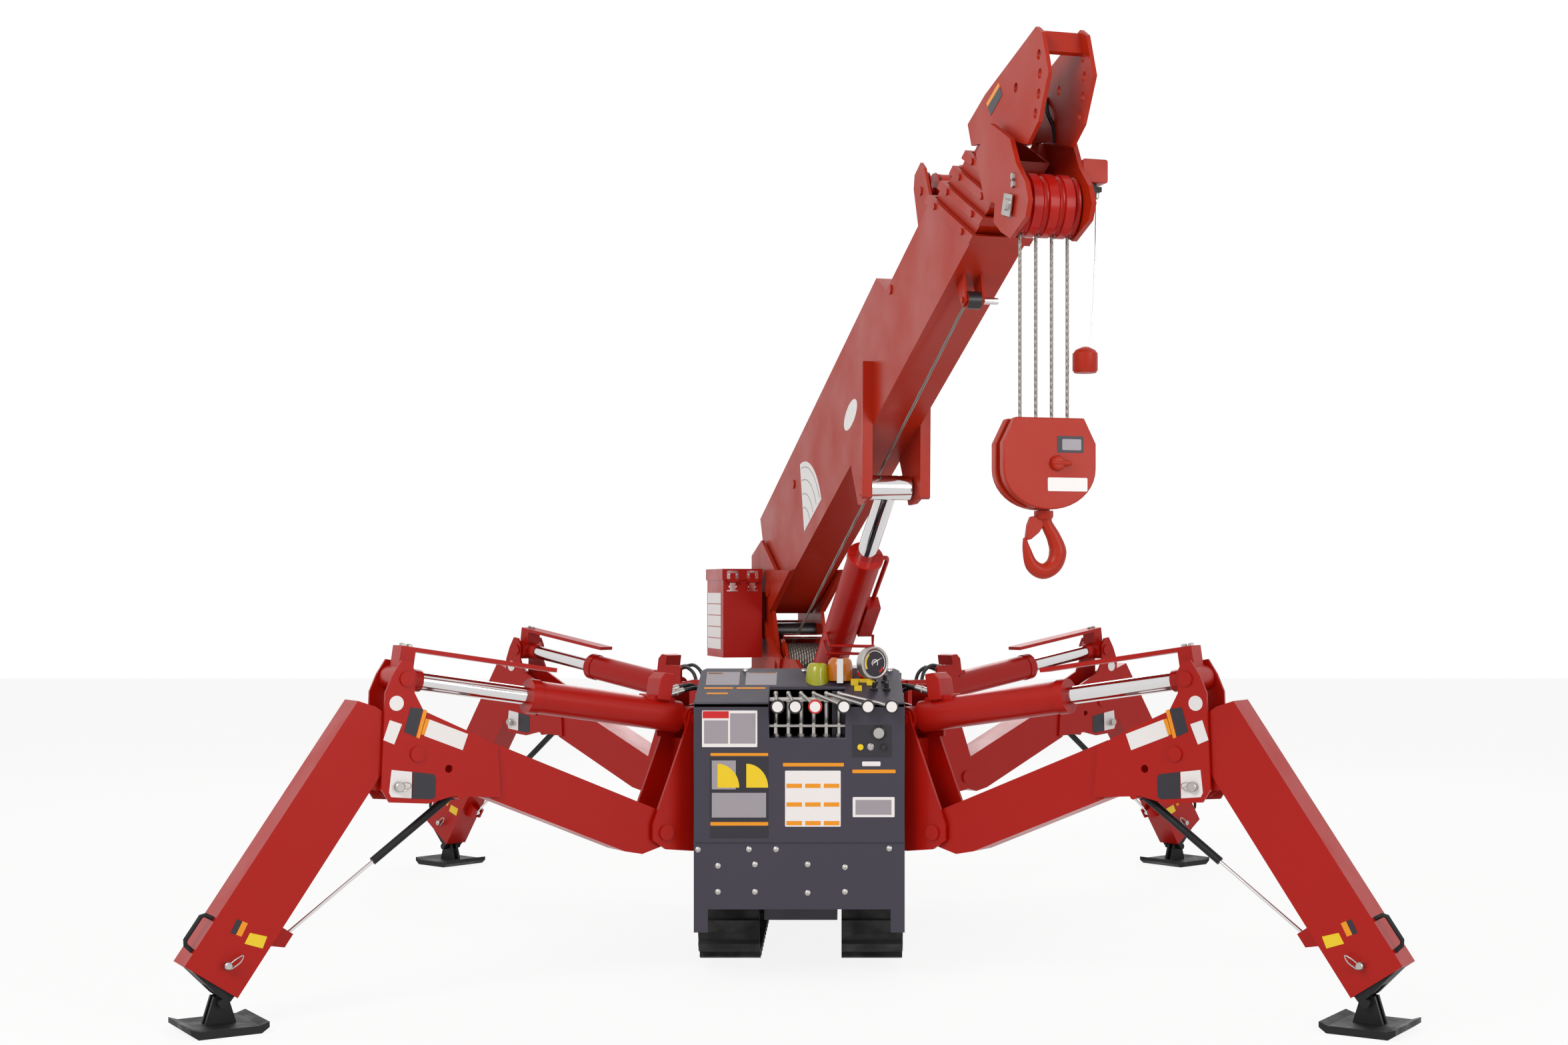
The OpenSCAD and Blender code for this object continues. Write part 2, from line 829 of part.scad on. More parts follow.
// Side brackets that carry the lift cylinder's eye
module lift_bracket() {
    both_sides(eye_gap + bracket_t / 2 - 0.1)
        across(bracket_t)
            polygon([[eye_a - 74, -30], [eye_a - 52, eye_b - 30], [eye_a, eye_b - 52],
                [eye_a + 56, eye_b - 60], [eye_a + 229, 110], [eye_a + 186, 110], [eye_a + 106, -30]]);
    both_sides(bracket_half_w - (bracket_half_w - eye_gap) / 2)
        across(bracket_half_w - eye_gap)
            polygon([[eye_a + 44, eye_b - 60], [eye_a + 56, eye_b - 60], [eye_a + 229, 110],
                [eye_a + 215, 110]]);
    both_sides(eye_gap + bracket_t + pin_cap_h / 2 - 0.2)
        cross_pin(eye_a, eye_b, lift_pin_r, pin_cap_h);
}

pin_cap_h = 6;

module section_two() { color(paint_red) boom_place() section(1, 250, 8); }
module section_three() { color(paint_red) boom_place() section(2, 300, 8); }
module section_four() { color(paint_red) boom_place() section(3, 350, 8); }

cheek_gap = 73;
cheek_t = 12;
sheave_r = 75;
sheave_pin_r = 20;
jib_gap = 50;
jib_t = 10;
jib_low = section_top(4) - 1;
jib_pin = [head_a + 96, 119];
jib_hole_r = 12;
jib_arc_r = 155;

module cheek_outline() {
    translate([head_a, 0])
        polygon([[-144, 103], [-28, 107], [66, -8], [75, -87], [105, -159], [104, -208], [70, -233],
            [-34, -221], [-78, -174], [-111, -122], [-84, -86], [-144, -32]]);
}

module jib_outline() {
    difference() {
        polygon([[end_a(4) - 9, jib_low], [end_a(4) - 9, 250], [head_a - 84, 238], [head_a + 262, 165],
            [head_a + 286, 130], [head_a + 280, 20], [head_a + 180, -43], [head_a + 100, -48],
            [head_a - 24, 60]]);
        translate(jib_pin)
            circle(r = jib_hole_r);
        for (i = [0 : 3])
            translate(jib_pin + jib_arc_r * [cos(9 + 17 * i), -sin(9 + 17 * i)])
                circle(r = jib_hole_r);
    }
}

// Blocks between the head's cheeks and its section, in front of section four's end
filler_b = [100, 30];
filler_back = 84;
filler_gap = 8;

module boom_head() {
    color(paint_red)
        boom_place() {
            section(4, 400, 0);
            both_sides(cheek_gap + cheek_t / 2)
                across(cheek_t)
                    cheek_outline();
            both_sides(section_w(4) / 2 + (cheek_gap - section_w(4) / 2) / 2)
                across(cheek_gap - section_w(4) / 2 + 0.2)
                    polygon([[end_at(3, filler_b[0]) + filler_gap, filler_b[0]],
                        [head_a - filler_back, filler_b[0]], [head_a - filler_back, filler_b[1]],
                        [end_at(3, filler_b[1]) + filler_gap, filler_b[1]]]);
            both_sides(jib_gap + jib_t / 2)
                across(jib_t)
                    jib_outline();
            across(2 * jib_gap + 0.2)
                polygon([[end_a(4) - 4, jib_low], [end_a(4) - 4, 240], [end_a(4) + 10, 238],
                    [end_a(4) + 10, jib_low]]);
            across(2 * jib_gap + 0.2)
                polygon([[head_a + 246, 100], [head_a + 246, 160], [head_a + 258, 158], [head_a + 258, 100]]);
            cross_pin(head_a, head_b, sheave_pin_r, 2 * (cheek_gap + cheek_t) + 10);
        }
}

module head_sheaves() {
    color(steel)
        boom_place()
            difference() {
                cross_pin(head_a, head_b, sheave_r, 2 * cheek_gap - 10);
                for (t = rope_t)
                    translate([0, t, 0])
                        rope_groove();
                cross_pin(head_a, head_b, sheave_pin_r + pin_fit, 2 * cheek_gap + 4);
            }
}

module rope_groove() {
    translate([head_a, 0, head_b])
        rotate([90, 0, 0])
            rotate_extrude()
                translate([sheave_r, 0])
                    circle(r = groove_r);
}

// Lift cylinder

rest_cos = cos(boom_angle);
rest_sin = sin(boom_angle);
eye_u = -pivot_back + eye_a * rest_cos - eye_b * rest_sin;
eye_z = pivot_z + eye_a * rest_sin + eye_b * rest_cos;
lift_slope = atan2(eye_z - lift_z, eye_u - lift_u);
lift_len = norm([eye_u - lift_u, eye_z - lift_z]);

module lift_place() {
    slew_place()
        translate([lift_u, 0, lift_z])
            rotate([0, -lift_slope, 0])
                children();
}

// A round bar along x from x0 to x1
module along(x0, x1, r) {
    translate([x0, 0, 0])
        rotate([0, 90, 0])
            cylinder(r = r, h = x1 - x0);
}

module lift_barrel() {
    bore_r = lift_barrel_r - 8;
    color(paint_red)
        lift_place()
            difference() {
                union() {
                    along(20, lift_barrel_len, lift_barrel_r);
                    cross_pin(0, 0, 42, 2 * column_gap - 16);
                }
                cross_pin(0, 0, lift_pin_r + pin_fit, 2 * column_gap);
                along(lift_bore_x, lift_barrel_len - gland_len, bore_r);
                along(lift_bore_x, lift_barrel_len + 1, lift_rod_r + pin_fit);
            }
}

lift_bore_x = 45;
gland_len = 34;
lift_piston_x = 250;
piston_len = 30;

module lift_rod() {
    color(steel)
        lift_place() {
            along(lift_piston_x, lift_len - 10, lift_rod_r);
            along(lift_piston_x, lift_piston_x + piston_len, lift_barrel_r - 8 - pin_fit);
            cross_pin(lift_len, 0, 36, 2 * eye_gap - 20);
        }
}

// Hook

block_u = -pivot_back + head_a * rest_cos - head_b * rest_sin;
head_z = pivot_z + head_a * rest_sin + head_b * rest_cos;
rope_r = 4;
groove_r = 9;
rope_top_z = head_z - sheave_r + groove_r - (groove_r - sqrt(groove_r * groove_r - rope_r * rope_r)) - seat;
rope_t = [-60, -20, 20, 60];

module hoist_ropes() {
    color(black)
        slew_place()
            for (t = rope_t)
                translate([block_u, t, block_top_z])
                    cylinder(r = rope_r, h = rope_top_z - block_top_z, $fn = 16);
}

module hook_block() {
    low = block_top_z - block_h;
    color(paint_red)
        slew_place()
            difference() {
                translate([block_u, 0, 0])
                    rotate([90, 0, 90])
                        translate([0, 0, -block_d / 2])
                            linear_extrude(block_d)
                                polygon([[-block_w / 2, low + 40], [-block_w / 2, block_top_z - 60],
                                    [-block_w / 2 + 30, block_top_z], [block_w / 2 - 30, block_top_z],
                                    [block_w / 2, block_top_z - 60], [block_w / 2, low + 40],
                                    [block_w / 2 - 50, low], [50 - block_w / 2, low]]);
                translate([block_u, 0, low - 1])
                    cylinder(r = 15 + pin_fit, h = 40);
            }
}

hook_r = 40;

module hook() {
    low = block_top_z - block_h;
    color(paint_red)
        slew_place()
            translate([block_u, 0, low]) {
                translate([0, 0, -50])
                    cylinder(r = 15, h = 80);
                translate([0, 0, -92])
                    rotate([0, 0, 90])
                        rotate([90, 0, 0])
                            rotate([0, 0, -190])
                                rotate_extrude(angle = 280)
                                    translate([hook_r, 0])
                                        circle(r = 16);
            }
}

// Legs

function post_of(c) = c == "fl" ? [-front_post_x, front_post_y, 180 + front_angle]
    : c == "fr" ? [front_post_x, front_post_y, -front_angle]
    : c == "rl" ? [-rear_post_x, rear_post_y, 180 - rear_angle]
    : [rear_post_x, rear_post_y, rear_angle];

module leg_place(c) {
    post = post_of(c);
    translate([post[0], post[1], 0])
        rotate([0, 0, post[2]])
            children();
}

bracket_gap = 60;
swing_plate_t = 10;
swing_plate_r = 40;
swing_web_r = 232;
swing_web_z = 695;
arm_pin_r = 22;
jack_pin_r = 20;

// Extra height of the plate on the side away from the operator
tall_plate = [[186, 700], [186, 842], [194, 850], [286, 850], [294, 842], [294, 700]];

module swing_bracket(far) {
    color(paint_red)
        difference() {
            union() {
                translate([0, 0, post_bottom_z])
                    cylinder(r = post_r, h = post_top_z - post_bottom_z);
                both_sides(bracket_gap + swing_plate_t / 2)
                    across(swing_plate_t)
                        polygon([[swing_plate_r, post_bottom_z], [250, post_bottom_z], [arm_r, arm_z - 48],
                            [arm_r + 42, arm_z - 20], [arm_r + 42, arm_z + 25], [jack_r + 32, jack_z - 12],
                            [jack_r + 24, jack_z + 22], [jack_r - 18, jack_z + 28],
                            [120, post_top_z - 4], [swing_plate_r, post_top_z - 4]]);
                translate([0, far * (bracket_gap + swing_plate_t / 2), 0])
                    across(swing_plate_t)
                        polygon(tall_plate);
                for (z = [post_bottom_z, post_top_z - 19])
                    translate([0, -bracket_gap - 1, z])
                        cube([70, 2 * bracket_gap + 2, 15]);
                translate([swing_web_r, -bracket_gap - 1, post_bottom_z])
                    cube([swing_plate_t, 2 * bracket_gap + 2, swing_web_z - post_bottom_z]);
                cross_pin(arm_r, arm_z, arm_pin_r, 2 * (bracket_gap + swing_plate_t) + 14);
                cross_pin(jack_r, jack_z, jack_pin_r, 2 * (bracket_gap + swing_plate_t) + 10);
            }
            translate([0, 0, post_bottom_z - 1])
                cylinder(r = post_pin_r + pin_fit, h = post_top_z - post_bottom_z + 2);
        }
}

// Place of the foot's pin in the outer leg's own axes, and the slope that sets it at its height
foot_x = leg_len + 29;
foot_offset = 71;
leg_slope = asin((knee_z - foot_pin_z) / norm([foot_x, foot_offset])) + atan2(foot_offset, foot_x);
rod_pin_r = knee_r + rod_pin_out;
// Length of the inner arm's centre line from its pivot to below the knee
arm_run = (knee_r - arm_r) / cos(arm_slope);
knee_gap = knee_half_w - knee_t;
arm_w = 2 * knee_gap;

module inner_arm() {
    color(paint_red)
        difference() {
            union() {
                translate([arm_r, 0, arm_z])
                    rotate([0, -arm_slope, 0])
                        across(arm_w)
                            polygon([[-30, arm_over], [arm_run - 199, arm_over],
                                [arm_run - 269, arm_over - arm_depth], [95, arm_over - arm_depth],
                                [40, -80], [-35, -20]]);
                both_sides(knee_gap + knee_t / 2 - 0.1)
                    across(knee_t)
                        knee_outline();
                cross_pin(knee_r, knee_z, knee_pin_r, 2 * knee_half_w + 12);
                both_sides(knee_half_w + pin_cap_h / 2 - 0.2)
                    cross_pin(rod_pin_r, rod_pin_z, jack_pin_r, pin_cap_h);
                cross_pin(strut_r0, strut_z0, strut_pin_r, 2 * knee_half_w);
            }
            cross_pin(arm_r, arm_z, arm_pin_r + pin_fit, 200);
        }
}

knee_pin_r = 20;

module knee_outline() {
    difference() {
        translate([knee_r, knee_z])
            polygon([[43, 251], [69, 211], [89, 165], [100, -90], [78, -125], [-29, -134], [-102, -118],
                [-241, -128], [-231, 11], [-146, 56], [-18, 115], [7, 163], [4, 218], [19, 247]]);
        for (turn = [-57.3, -102.9, -154.2])
            translate([knee_r + 100 * cos(turn), knee_z + 100 * sin(turn)])
                circle(r = 11);
    }
}

// Outrigger cylinder

jack_slope = atan2(rod_pin_z - jack_z, rod_pin_r - jack_r);
jack_len = norm([rod_pin_r - jack_r, rod_pin_z - jack_z]);

jack_piston_x = 380;
// Length of the flat guard over the rod
guard_len = 440;

module jack_place() {
    translate([jack_r, 0, jack_z])
        rotate([0, -jack_slope, 0])
            children();
}

module jack_barrel() {
    color(paint_red)
        jack_place()
            difference() {
                union() {
                    along(30, jack_barrel_len, jack_barrel_r);
                    along(jack_barrel_len - 26, jack_barrel_len + 4, jack_barrel_r + 3);
                    cross_pin(0, 0, 34, 2 * bracket_gap - 10);
                }
                cross_pin(0, 0, jack_pin_r + pin_fit, 2 * bracket_gap);
                along(50, jack_barrel_len - 30, jack_barrel_r - 8);
                along(50, jack_barrel_len + 5, jack_rod_r + pin_fit);
            }
}

module jack_rod() {
    color(steel)
        jack_place() {
            along(jack_piston_x, jack_len - 10, jack_rod_r);
            along(jack_piston_x, jack_piston_x + piston_len, jack_barrel_r - 8 - pin_fit);
            cross_pin(jack_len, 0, 34, 2 * knee_gap - 12);
            translate([-5, 0, 0])
                across(60)
                    polygon([[jack_len - 20, 20], [jack_len + 20, 20], [jack_len + 20, 86],
                        [jack_len - guard_len, 86], [jack_len - guard_len, 76], [jack_len - 20, 76]]);
        }
}

// Outer leg

module knee_place() {
    translate([knee_r, 0, knee_z])
        rotate([0, leg_slope, 0])
            children();
}

ear_t = 12;

module outer_leg() {
    z0 = leg_offset;
    z1 = leg_offset + leg_depth;
    color(paint_red)
        knee_place()
            difference() {
                union() {
                    across(leg_w)
                        polygon([[-29, z1], [-43, z1 - leg_w / 2], [-43, z0], [leg_len, z0], [leg_len, z1]]);
                    both_sides(34)
                        across(ear_t)
                            polygon([[-43, z0 + 1], [-45, -20], [-20, -45], [20, -45], [100, -40],
                                [130, -20], [130, 20], [145, z0 + 1]]);
                    both_sides(34)
                        cross_pin(0, 0, 45, ear_t);
                    both_sides(16)
                        across(8)
                            polygon([[strut_end[0] - 20, z0 + 1], [strut_end[0] - 20, 6],
                                [strut_end[0] + 20, 6], [strut_end[0] + 40, z0 + 1]]);
                }
                across(leg_w - 2 * leg_wall)
                    polygon([[60, z1 - leg_wall], [60, z0 + leg_wall], [leg_len + 1, z0 + leg_wall],
                        [leg_len + 1, z1 - leg_wall]]);
                cross_pin(0, 0, knee_pin_r + pin_fit, 200);
                cross_pin(100, -3, 11, 200);
            }
}

slider_w = leg_w - 2 * leg_wall - 2;
// Length of the slider inside the outer leg at rest
slider_in = leg_len * 0.6;

module inner_leg() {
    low = leg_offset + leg_wall + 1;
    top = leg_offset + leg_depth - leg_wall - 1;
    color(black)
        knee_place()
            difference() {
                union() {
                    across(slider_w)
                        polygon([[leg_len - slider_in, low], [leg_len - slider_in, top],
                            [leg_len - 4, top], [leg_len + 20, foot_offset + 20],
                            [leg_len + 20, foot_offset - 12], [leg_len - 4, low]]);
                }
                translate([foot_x, 0, foot_offset])
                    rotate([0, -leg_slope, 0])
                        cross_pin(0, 0, 60, 40);
            }
    color(black)
        translate([foot_r, 0, foot_pin_z])
            cross_pin(0, 0, 12, slider_w);
}

foot_r = knee_r + foot_x * cos(leg_slope) + foot_offset * sin(leg_slope);

pad_up = 20;

module foot_pad() {
    color(black)
        difference() {
            union() {
                across(pad_w)
                    polygon([[foot_r - pad_w / 2, pad_up - 6], [foot_r - pad_w / 2 + pad_up, 0],
                        [foot_r + pad_w / 2 - pad_up, 0], [foot_r + pad_w / 2, pad_up - 6],
                        [foot_r + pad_w / 2, pad_up + 8], [foot_r + pad_w / 2 - pad_up - 4, pad_t],
                        [foot_r - pad_w / 2 + pad_up + 4, pad_t], [foot_r - pad_w / 2, pad_up + 8]]);
                both_sides(14)
                    across(10)
                        polygon([[foot_r - 40, pad_t - 1], [foot_r - 18, foot_pin_z + 16],
                            [foot_r + 18, foot_pin_z + 16], [foot_r + 40, pad_t - 1]]);
            }
            cross_pin(foot_r, foot_pin_z, 12 + pin_fit, 200);
        }
}

// Gas strut between the arm and the outer leg

strut_pin_r = 9;
strut_r0 = knee_r - 124;
strut_z0 = knee_z - 119;
strut_end = [leg_len - 188, 19];
strut_r1 = knee_r + strut_end[0] * cos(leg_slope) + strut_end[1] * sin(leg_slope);
strut_z1 = knee_z - strut_end[0] * sin(leg_slope) + strut_end[1] * cos(leg_slope);
strut_slope = atan2(strut_z1 - strut_z0, strut_r1 - strut_r0);
strut_len = norm([strut_r1 - strut_r0, strut_z1 - strut_z0]);

module strut_place() {
    translate([strut_r0, 0, strut_z0])
        rotate([0, -strut_slope, 0])
            children();
}

module strut_tube() {
    color(black)
        strut_place()
            difference() {
                union() {
                    along(8, 280, 11);
                    cross_pin(0, 0, 14, 16);
                }
                cross_pin(0, 0, strut_pin_r + pin_fit, 40);
                along(30, 281, 5 + pin_fit);
            }
}

module strut_rod() {
    color(steel)
        strut_place() {
            along(240, strut_len - 6, 5);
            cross_pin(strut_len, 0, 12, 14);
        }
}

// Side of a leg that faces away from the console's operator
function far_side(c) = c == "fl" || c == "rr" ? -1 : 1;

module leg_part(p, c) {
    if (p == "swing_bracket") swing_bracket(far_side(c));
    if (p == "inner_arm") inner_arm();
    if (p == "jack_barrel") jack_barrel();
    if (p == "jack_rod") jack_rod();
    if (p == "outer_leg") outer_leg();
    if (p == "inner_leg") inner_leg();
    if (p == "foot_pad") foot_pad();
    if (p == "strut_tube") strut_tube();
    if (p == "strut_rod") strut_rod();
}

chassis_frame();
running_gear();
tracks();
console_body();
lower_cover();
console_controls();
beacons();
engine_hood();
column();
winch_drum();
tool_box();
tool_box_lid();
base_section();
section_two();
section_three();
section_four();
boom_head();
head_sheaves();
lift_barrel();
lift_rod();
hoist_ropes();
hook_block();
hook();
for (c = corners)
    for (p = leg_parts)
        leg_place(c) leg_part(p, c);
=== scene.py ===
import math
import bpy
import bmesh
from mathutils import Matrix, Vector


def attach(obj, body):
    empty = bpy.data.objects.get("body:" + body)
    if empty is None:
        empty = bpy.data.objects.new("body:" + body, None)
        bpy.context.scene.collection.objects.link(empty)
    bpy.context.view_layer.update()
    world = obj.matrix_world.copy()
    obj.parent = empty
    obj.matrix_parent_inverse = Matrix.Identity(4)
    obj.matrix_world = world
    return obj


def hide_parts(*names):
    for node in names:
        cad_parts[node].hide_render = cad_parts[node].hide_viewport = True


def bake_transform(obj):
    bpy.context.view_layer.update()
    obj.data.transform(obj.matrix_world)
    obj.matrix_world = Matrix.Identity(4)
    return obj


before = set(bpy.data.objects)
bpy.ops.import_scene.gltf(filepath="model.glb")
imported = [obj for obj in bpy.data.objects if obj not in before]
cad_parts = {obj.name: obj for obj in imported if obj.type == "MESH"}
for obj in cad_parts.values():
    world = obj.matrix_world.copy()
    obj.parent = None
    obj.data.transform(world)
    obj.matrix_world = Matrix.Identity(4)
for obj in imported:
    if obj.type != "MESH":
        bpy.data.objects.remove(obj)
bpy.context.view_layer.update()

# Metres in a millimetre, and the thickness of a plate's film in millimetres
mm = 0.001
film = 0.8


# Camera: the photograph's place and angle, with the shift that its framing needs
cameraLook = {"place": (0.1226, -7.1125, 1.1262), "lens": 48.92, "shiftX": -0.0372, "shiftY": 0.0431}
cameraData = bpy.data.cameras.new("camera")
cameraData.sensor_width = 36
cameraData.lens = cameraLook["lens"]
cameraData.shift_x = cameraLook["shiftX"]
cameraData.shift_y = cameraLook["shiftY"]
camera = bpy.data.objects.new("camera", cameraData)
camera.location = cameraLook["place"]
camera.rotation_euler = (math.radians(90), 0, 0)
bpy.context.scene.collection.objects.link(camera)
bpy.context.scene.camera = camera
print("camera set")


# Places, the same as in the CAD: every frame takes millimetres
def turnAbout(axis, degrees):
    return Matrix.Rotation(math.radians(degrees), 4, axis)


def shift(x, y, z):
    return Matrix.Translation((x * mm, y * mm, z * mm))


corners = {
    "fl": {"post": (-139, -791), "turn": 213.15, "side": 1},
    "fr": {"post": (139, -791), "turn": -33.15, "side": -1},
    "rl": {"post": (-284, 622), "turn": 139.25, "side": 1},
    "rr": {"post": (284, 622), "turn": 40.75, "side": -1},
}
groundPlace = Matrix.Identity(4)
slewPlace = turnAbout("Z", 16.2 - 90)
boomPlace = slewPlace @ shift(-126, 0, 1130) @ turnAbout("Y", -25.2)
liftPlace = slewPlace @ shift(150, 0, 768) @ turnAbout("Y", -40.4)
blockU = 2148.8


def legPlace(corner):
    x, y = corners[corner]["post"]
    return shift(x, y, 0) @ turnAbout("Z", corners[corner]["turn"])


def jackPlace(corner):
    return legPlace(corner) @ shift(230, 0, 755) @ turnAbout("Y", -8.72)


def kneePlace(corner):
    return legPlace(corner) @ shift(1081, 0, 689) @ turnAbout("Y", 55.31)


# A frame whose own z points along a direction
def aim(place, at, direction):
    turn = Vector(direction).to_track_quat("Z", "Y").to_matrix().to_4x4()
    return place @ Matrix.Translation(Vector(at) * mm) @ turn


# Outlines, in millimetres
def box2(a0, b0, a1, b1):
    return [(a0, b0), (a1, b0), (a1, b1), (a0, b1)]


def roundBox(a0, b0, a1, b1, r, steps=4):
    points = []
    centres = ((a1 - r, b1 - r, 0), (a0 + r, b1 - r, 90), (a0 + r, b0 + r, 180), (a1 - r, b0 + r, 270))
    for a, b, start in centres:
        for i in range(steps + 1):
            angle = math.radians(start + 90 * i / steps)
            points.append((a + r * math.cos(angle), b + r * math.sin(angle)))
    return points


def oval(a, b, ra, rb, steps=28, low=0, high=360):
    full = high - low == 360
    count = steps if full else steps + 1
    angles = [math.radians(low + (high - low) * i / steps) for i in range(count)]
    return [(a + ra * math.cos(t), b + rb * math.sin(t)) for t in angles]


# Solids, added to one mesh
planes = {"xy": (0, 1, 2), "xz": (0, 2, 1), "yz": (1, 2, 0)}


def addSlab(mesh, plane, outline, low, high, place=groundPlace):
    ia, ib, ih = planes[plane]
    rings = []
    for h in (low, high):
        ring = []
        for a, b in outline:
            point = [0, 0, 0]
            point[ia], point[ib], point[ih] = a * mm, b * mm, h * mm
            ring.append(mesh.verts.new(place @ Vector(point)))
        rings.append(ring)
    mesh.faces.new(rings[0])
    mesh.faces.new(rings[1][::-1])
    for i in range(len(outline)):
        mesh.faces.new((rings[0][i - 1], rings[0][i], rings[1][i], rings[1][i - 1]))


def addBox(mesh, low, high, place=groundPlace):
    addSlab(mesh, "xy", box2(low[0], low[1], high[0], high[1]), low[2], high[2], place)


# A profile of radius and height, turned about the place's own z
def addTurned(mesh, profile, place, steps=28, closed=False):
    rings = []
    for r, h in profile:
        if r == 0:
            rings.append([mesh.verts.new(place @ Vector((0, 0, h * mm)))])
            continue
        angles = [2 * math.pi * i / steps for i in range(steps)]
        rings.append([mesh.verts.new(place @ (Vector((r * math.cos(t), r * math.sin(t), h)) * mm))
                      for t in angles])
    pairs = list(zip(rings, rings[1:])) + ([(rings[-1], rings[0])] if closed else [])
    for lower, upper in pairs:
        for i in range(steps):
            j = (i + 1) % steps
            if len(lower) == 1:
                mesh.faces.new((lower[0], upper[j], upper[i]))
            elif len(upper) == 1:
                mesh.faces.new((lower[i], lower[j], upper[0]))
            else:
                mesh.faces.new((lower[i], lower[j], upper[j], upper[i]))


def addDisc(mesh, at, direction, radius, height, place=groundPlace, steps=28, edge=0.0):
    profile = [(0, 0), (radius, 0), (radius, height - edge), (radius - edge, height), (0, height)]
    if not edge:
        profile.pop(3)
    addTurned(mesh, profile, aim(place, at, direction), steps)


# Points on one smooth curve through the given ones
def smoothPath(points, perSpan=8):
    points = [Vector(p) for p in points]
    ends = [2 * points[0] - points[1]] + points + [2 * points[-1] - points[-2]]
    path = []
    for p0, p1, p2, p3 in zip(ends, ends[1:], ends[2:], ends[3:]):
        for i in range(perSpan):
            t = i / perSpan
            path.append(0.5 * (2 * p1 + (p2 - p0) * t + (2 * p0 - 5 * p1 + 4 * p2 - p3) * t * t
                               + (3 * p1 - p0 - 3 * p2 + p3) * t * t * t))
    return path + [points[-1]]


# A round bar of even or changing radius along a path
def addSweep(mesh, path, radius, place=groundPlace, steps=12):
    points = [place @ (Vector(p) * mm) for p in path]
    radii = [r * mm for r in radius] if isinstance(radius, list) else [radius * mm] * len(points)
    across = None
    rings = []
    for i, point in enumerate(points):
        along = (points[min(i + 1, len(points) - 1)] - points[max(i - 1, 0)]).normalized()
        across = along.orthogonal() if across is None else across - along * across.dot(along)
        across.normalize()
        side = along.cross(across)
        rings.append([mesh.verts.new(point + radii[i] * (across * math.cos(2 * math.pi * k / steps)
                                                         + side * math.sin(2 * math.pi * k / steps)))
                      for k in range(steps)])
    for lower, upper in zip(rings, rings[1:]):
        for k in range(steps):
            j = (k + 1) % steps
            mesh.faces.new((lower[k], lower[j], upper[j], upper[k]))
    mesh.faces.new(rings[0][::-1])
    mesh.faces.new(rings[-1])


def finishPiece(mesh, name, body, material, bevel=0.0, smoothAngle=35):
    bmesh.ops.recalc_face_normals(mesh, faces=mesh.faces)
    for face in mesh.faces:
        face.smooth = True
    for edge in mesh.edges:
        edge.smooth = len(edge.link_faces) == 2 and edge.calc_face_angle() < math.radians(smoothAngle)
    data = bpy.data.meshes.new(name)
    mesh.to_mesh(data)
    mesh.free()
    data.materials.append(material)
    piece = bpy.data.objects.new(name, data)
    bpy.context.scene.collection.objects.link(piece)
    if bevel:
        rounding = piece.modifiers.new("rounding", "BEVEL")
        rounding.width = bevel * mm
        rounding.segments = 2
        rounding.limit_method = "ANGLE"
        rounding.angle_limit = math.radians(40)
    if body:
        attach(piece, body)
    return piece


# Materials
def hexToLinear(code):
    channels = [int(code[i:i + 2], 16) / 255 for i in (1, 3, 5)]
    return tuple(c / 12.92 if c <= 0.04045 else ((c + 0.055) / 1.055) ** 2.4 for c in channels) + (1.0,)


def addNode(tree, kind, settings, links=()):
    node = tree.nodes.new(kind)
    for key, value in settings.items():
        if key in node.inputs:
            node.inputs[key].default_value = value
        else:
            setattr(node, key, value)
    for socket, source in links:
        tree.links.new(source, node.inputs[socket])
    return node


def makeFinish(name, look):
    material = bpy.data.materials.new(name)
    material.use_nodes = True
    tree = material.node_tree
    tree.nodes.clear()
    shader = addNode(tree, "ShaderNodeBsdfPrincipled", {
        "Base Color": hexToLinear(look["color"]), "Metallic": look.get("metallic", 0.0),
        "Roughness": look["roughness"], "IOR": look.get("ior", 1.5),
        "Specular IOR Level": look.get("shine", 0.5),
        "Coat Weight": look.get("coat", 0.0), "Coat Roughness": 0.08,
        "Transmission Weight": look.get("transmission", 0.0)})
    addNode(tree, "ShaderNodeOutputMaterial", {}, [("Surface", shader.outputs["BSDF"])])
    place = addNode(tree, "ShaderNodeTexCoord", {})
    if look.get("bands"):
        grain = addNode(tree, "ShaderNodeTexWave", {
            "wave_type": "BANDS", "bands_direction": "DIAGONAL", "Distortion": 0.4,
            "Scale": 0.314 / (look["grain"] * mm)}, [("Vector", place.outputs["Object"])])
    else:
        grain = addNode(tree, "ShaderNodeTexNoise", {"Scale": 1 / (look["grain"] * mm), "Detail": 3.0},
                        [("Vector", place.outputs["Object"])])
    bump = addNode(tree, "ShaderNodeBump", {"Strength": look["bump"], "Distance": look["depth"] * mm},
                   [("Height", grain.outputs["Fac"])])
    tree.links.new(bump.outputs["Normal"], shader.inputs["Normal"])
    if look.get("wear"):
        cloud = addNode(tree, "ShaderNodeTexNoise", {"Scale": 1 / (look["wear"] * mm), "Detail": 4.0},
                        [("Vector", place.outputs["Object"])])
        spread = addNode(tree, "ShaderNodeMapRange", {
            "From Min": 0.3, "From Max": 0.7, "To Min": look["roughness"] * 0.8,
            "To Max": look["roughness"] * 1.35}, [("Value", cloud.outputs[0])])
        tree.links.new(spread.outputs["Result"], shader.inputs["Roughness"])
    return material


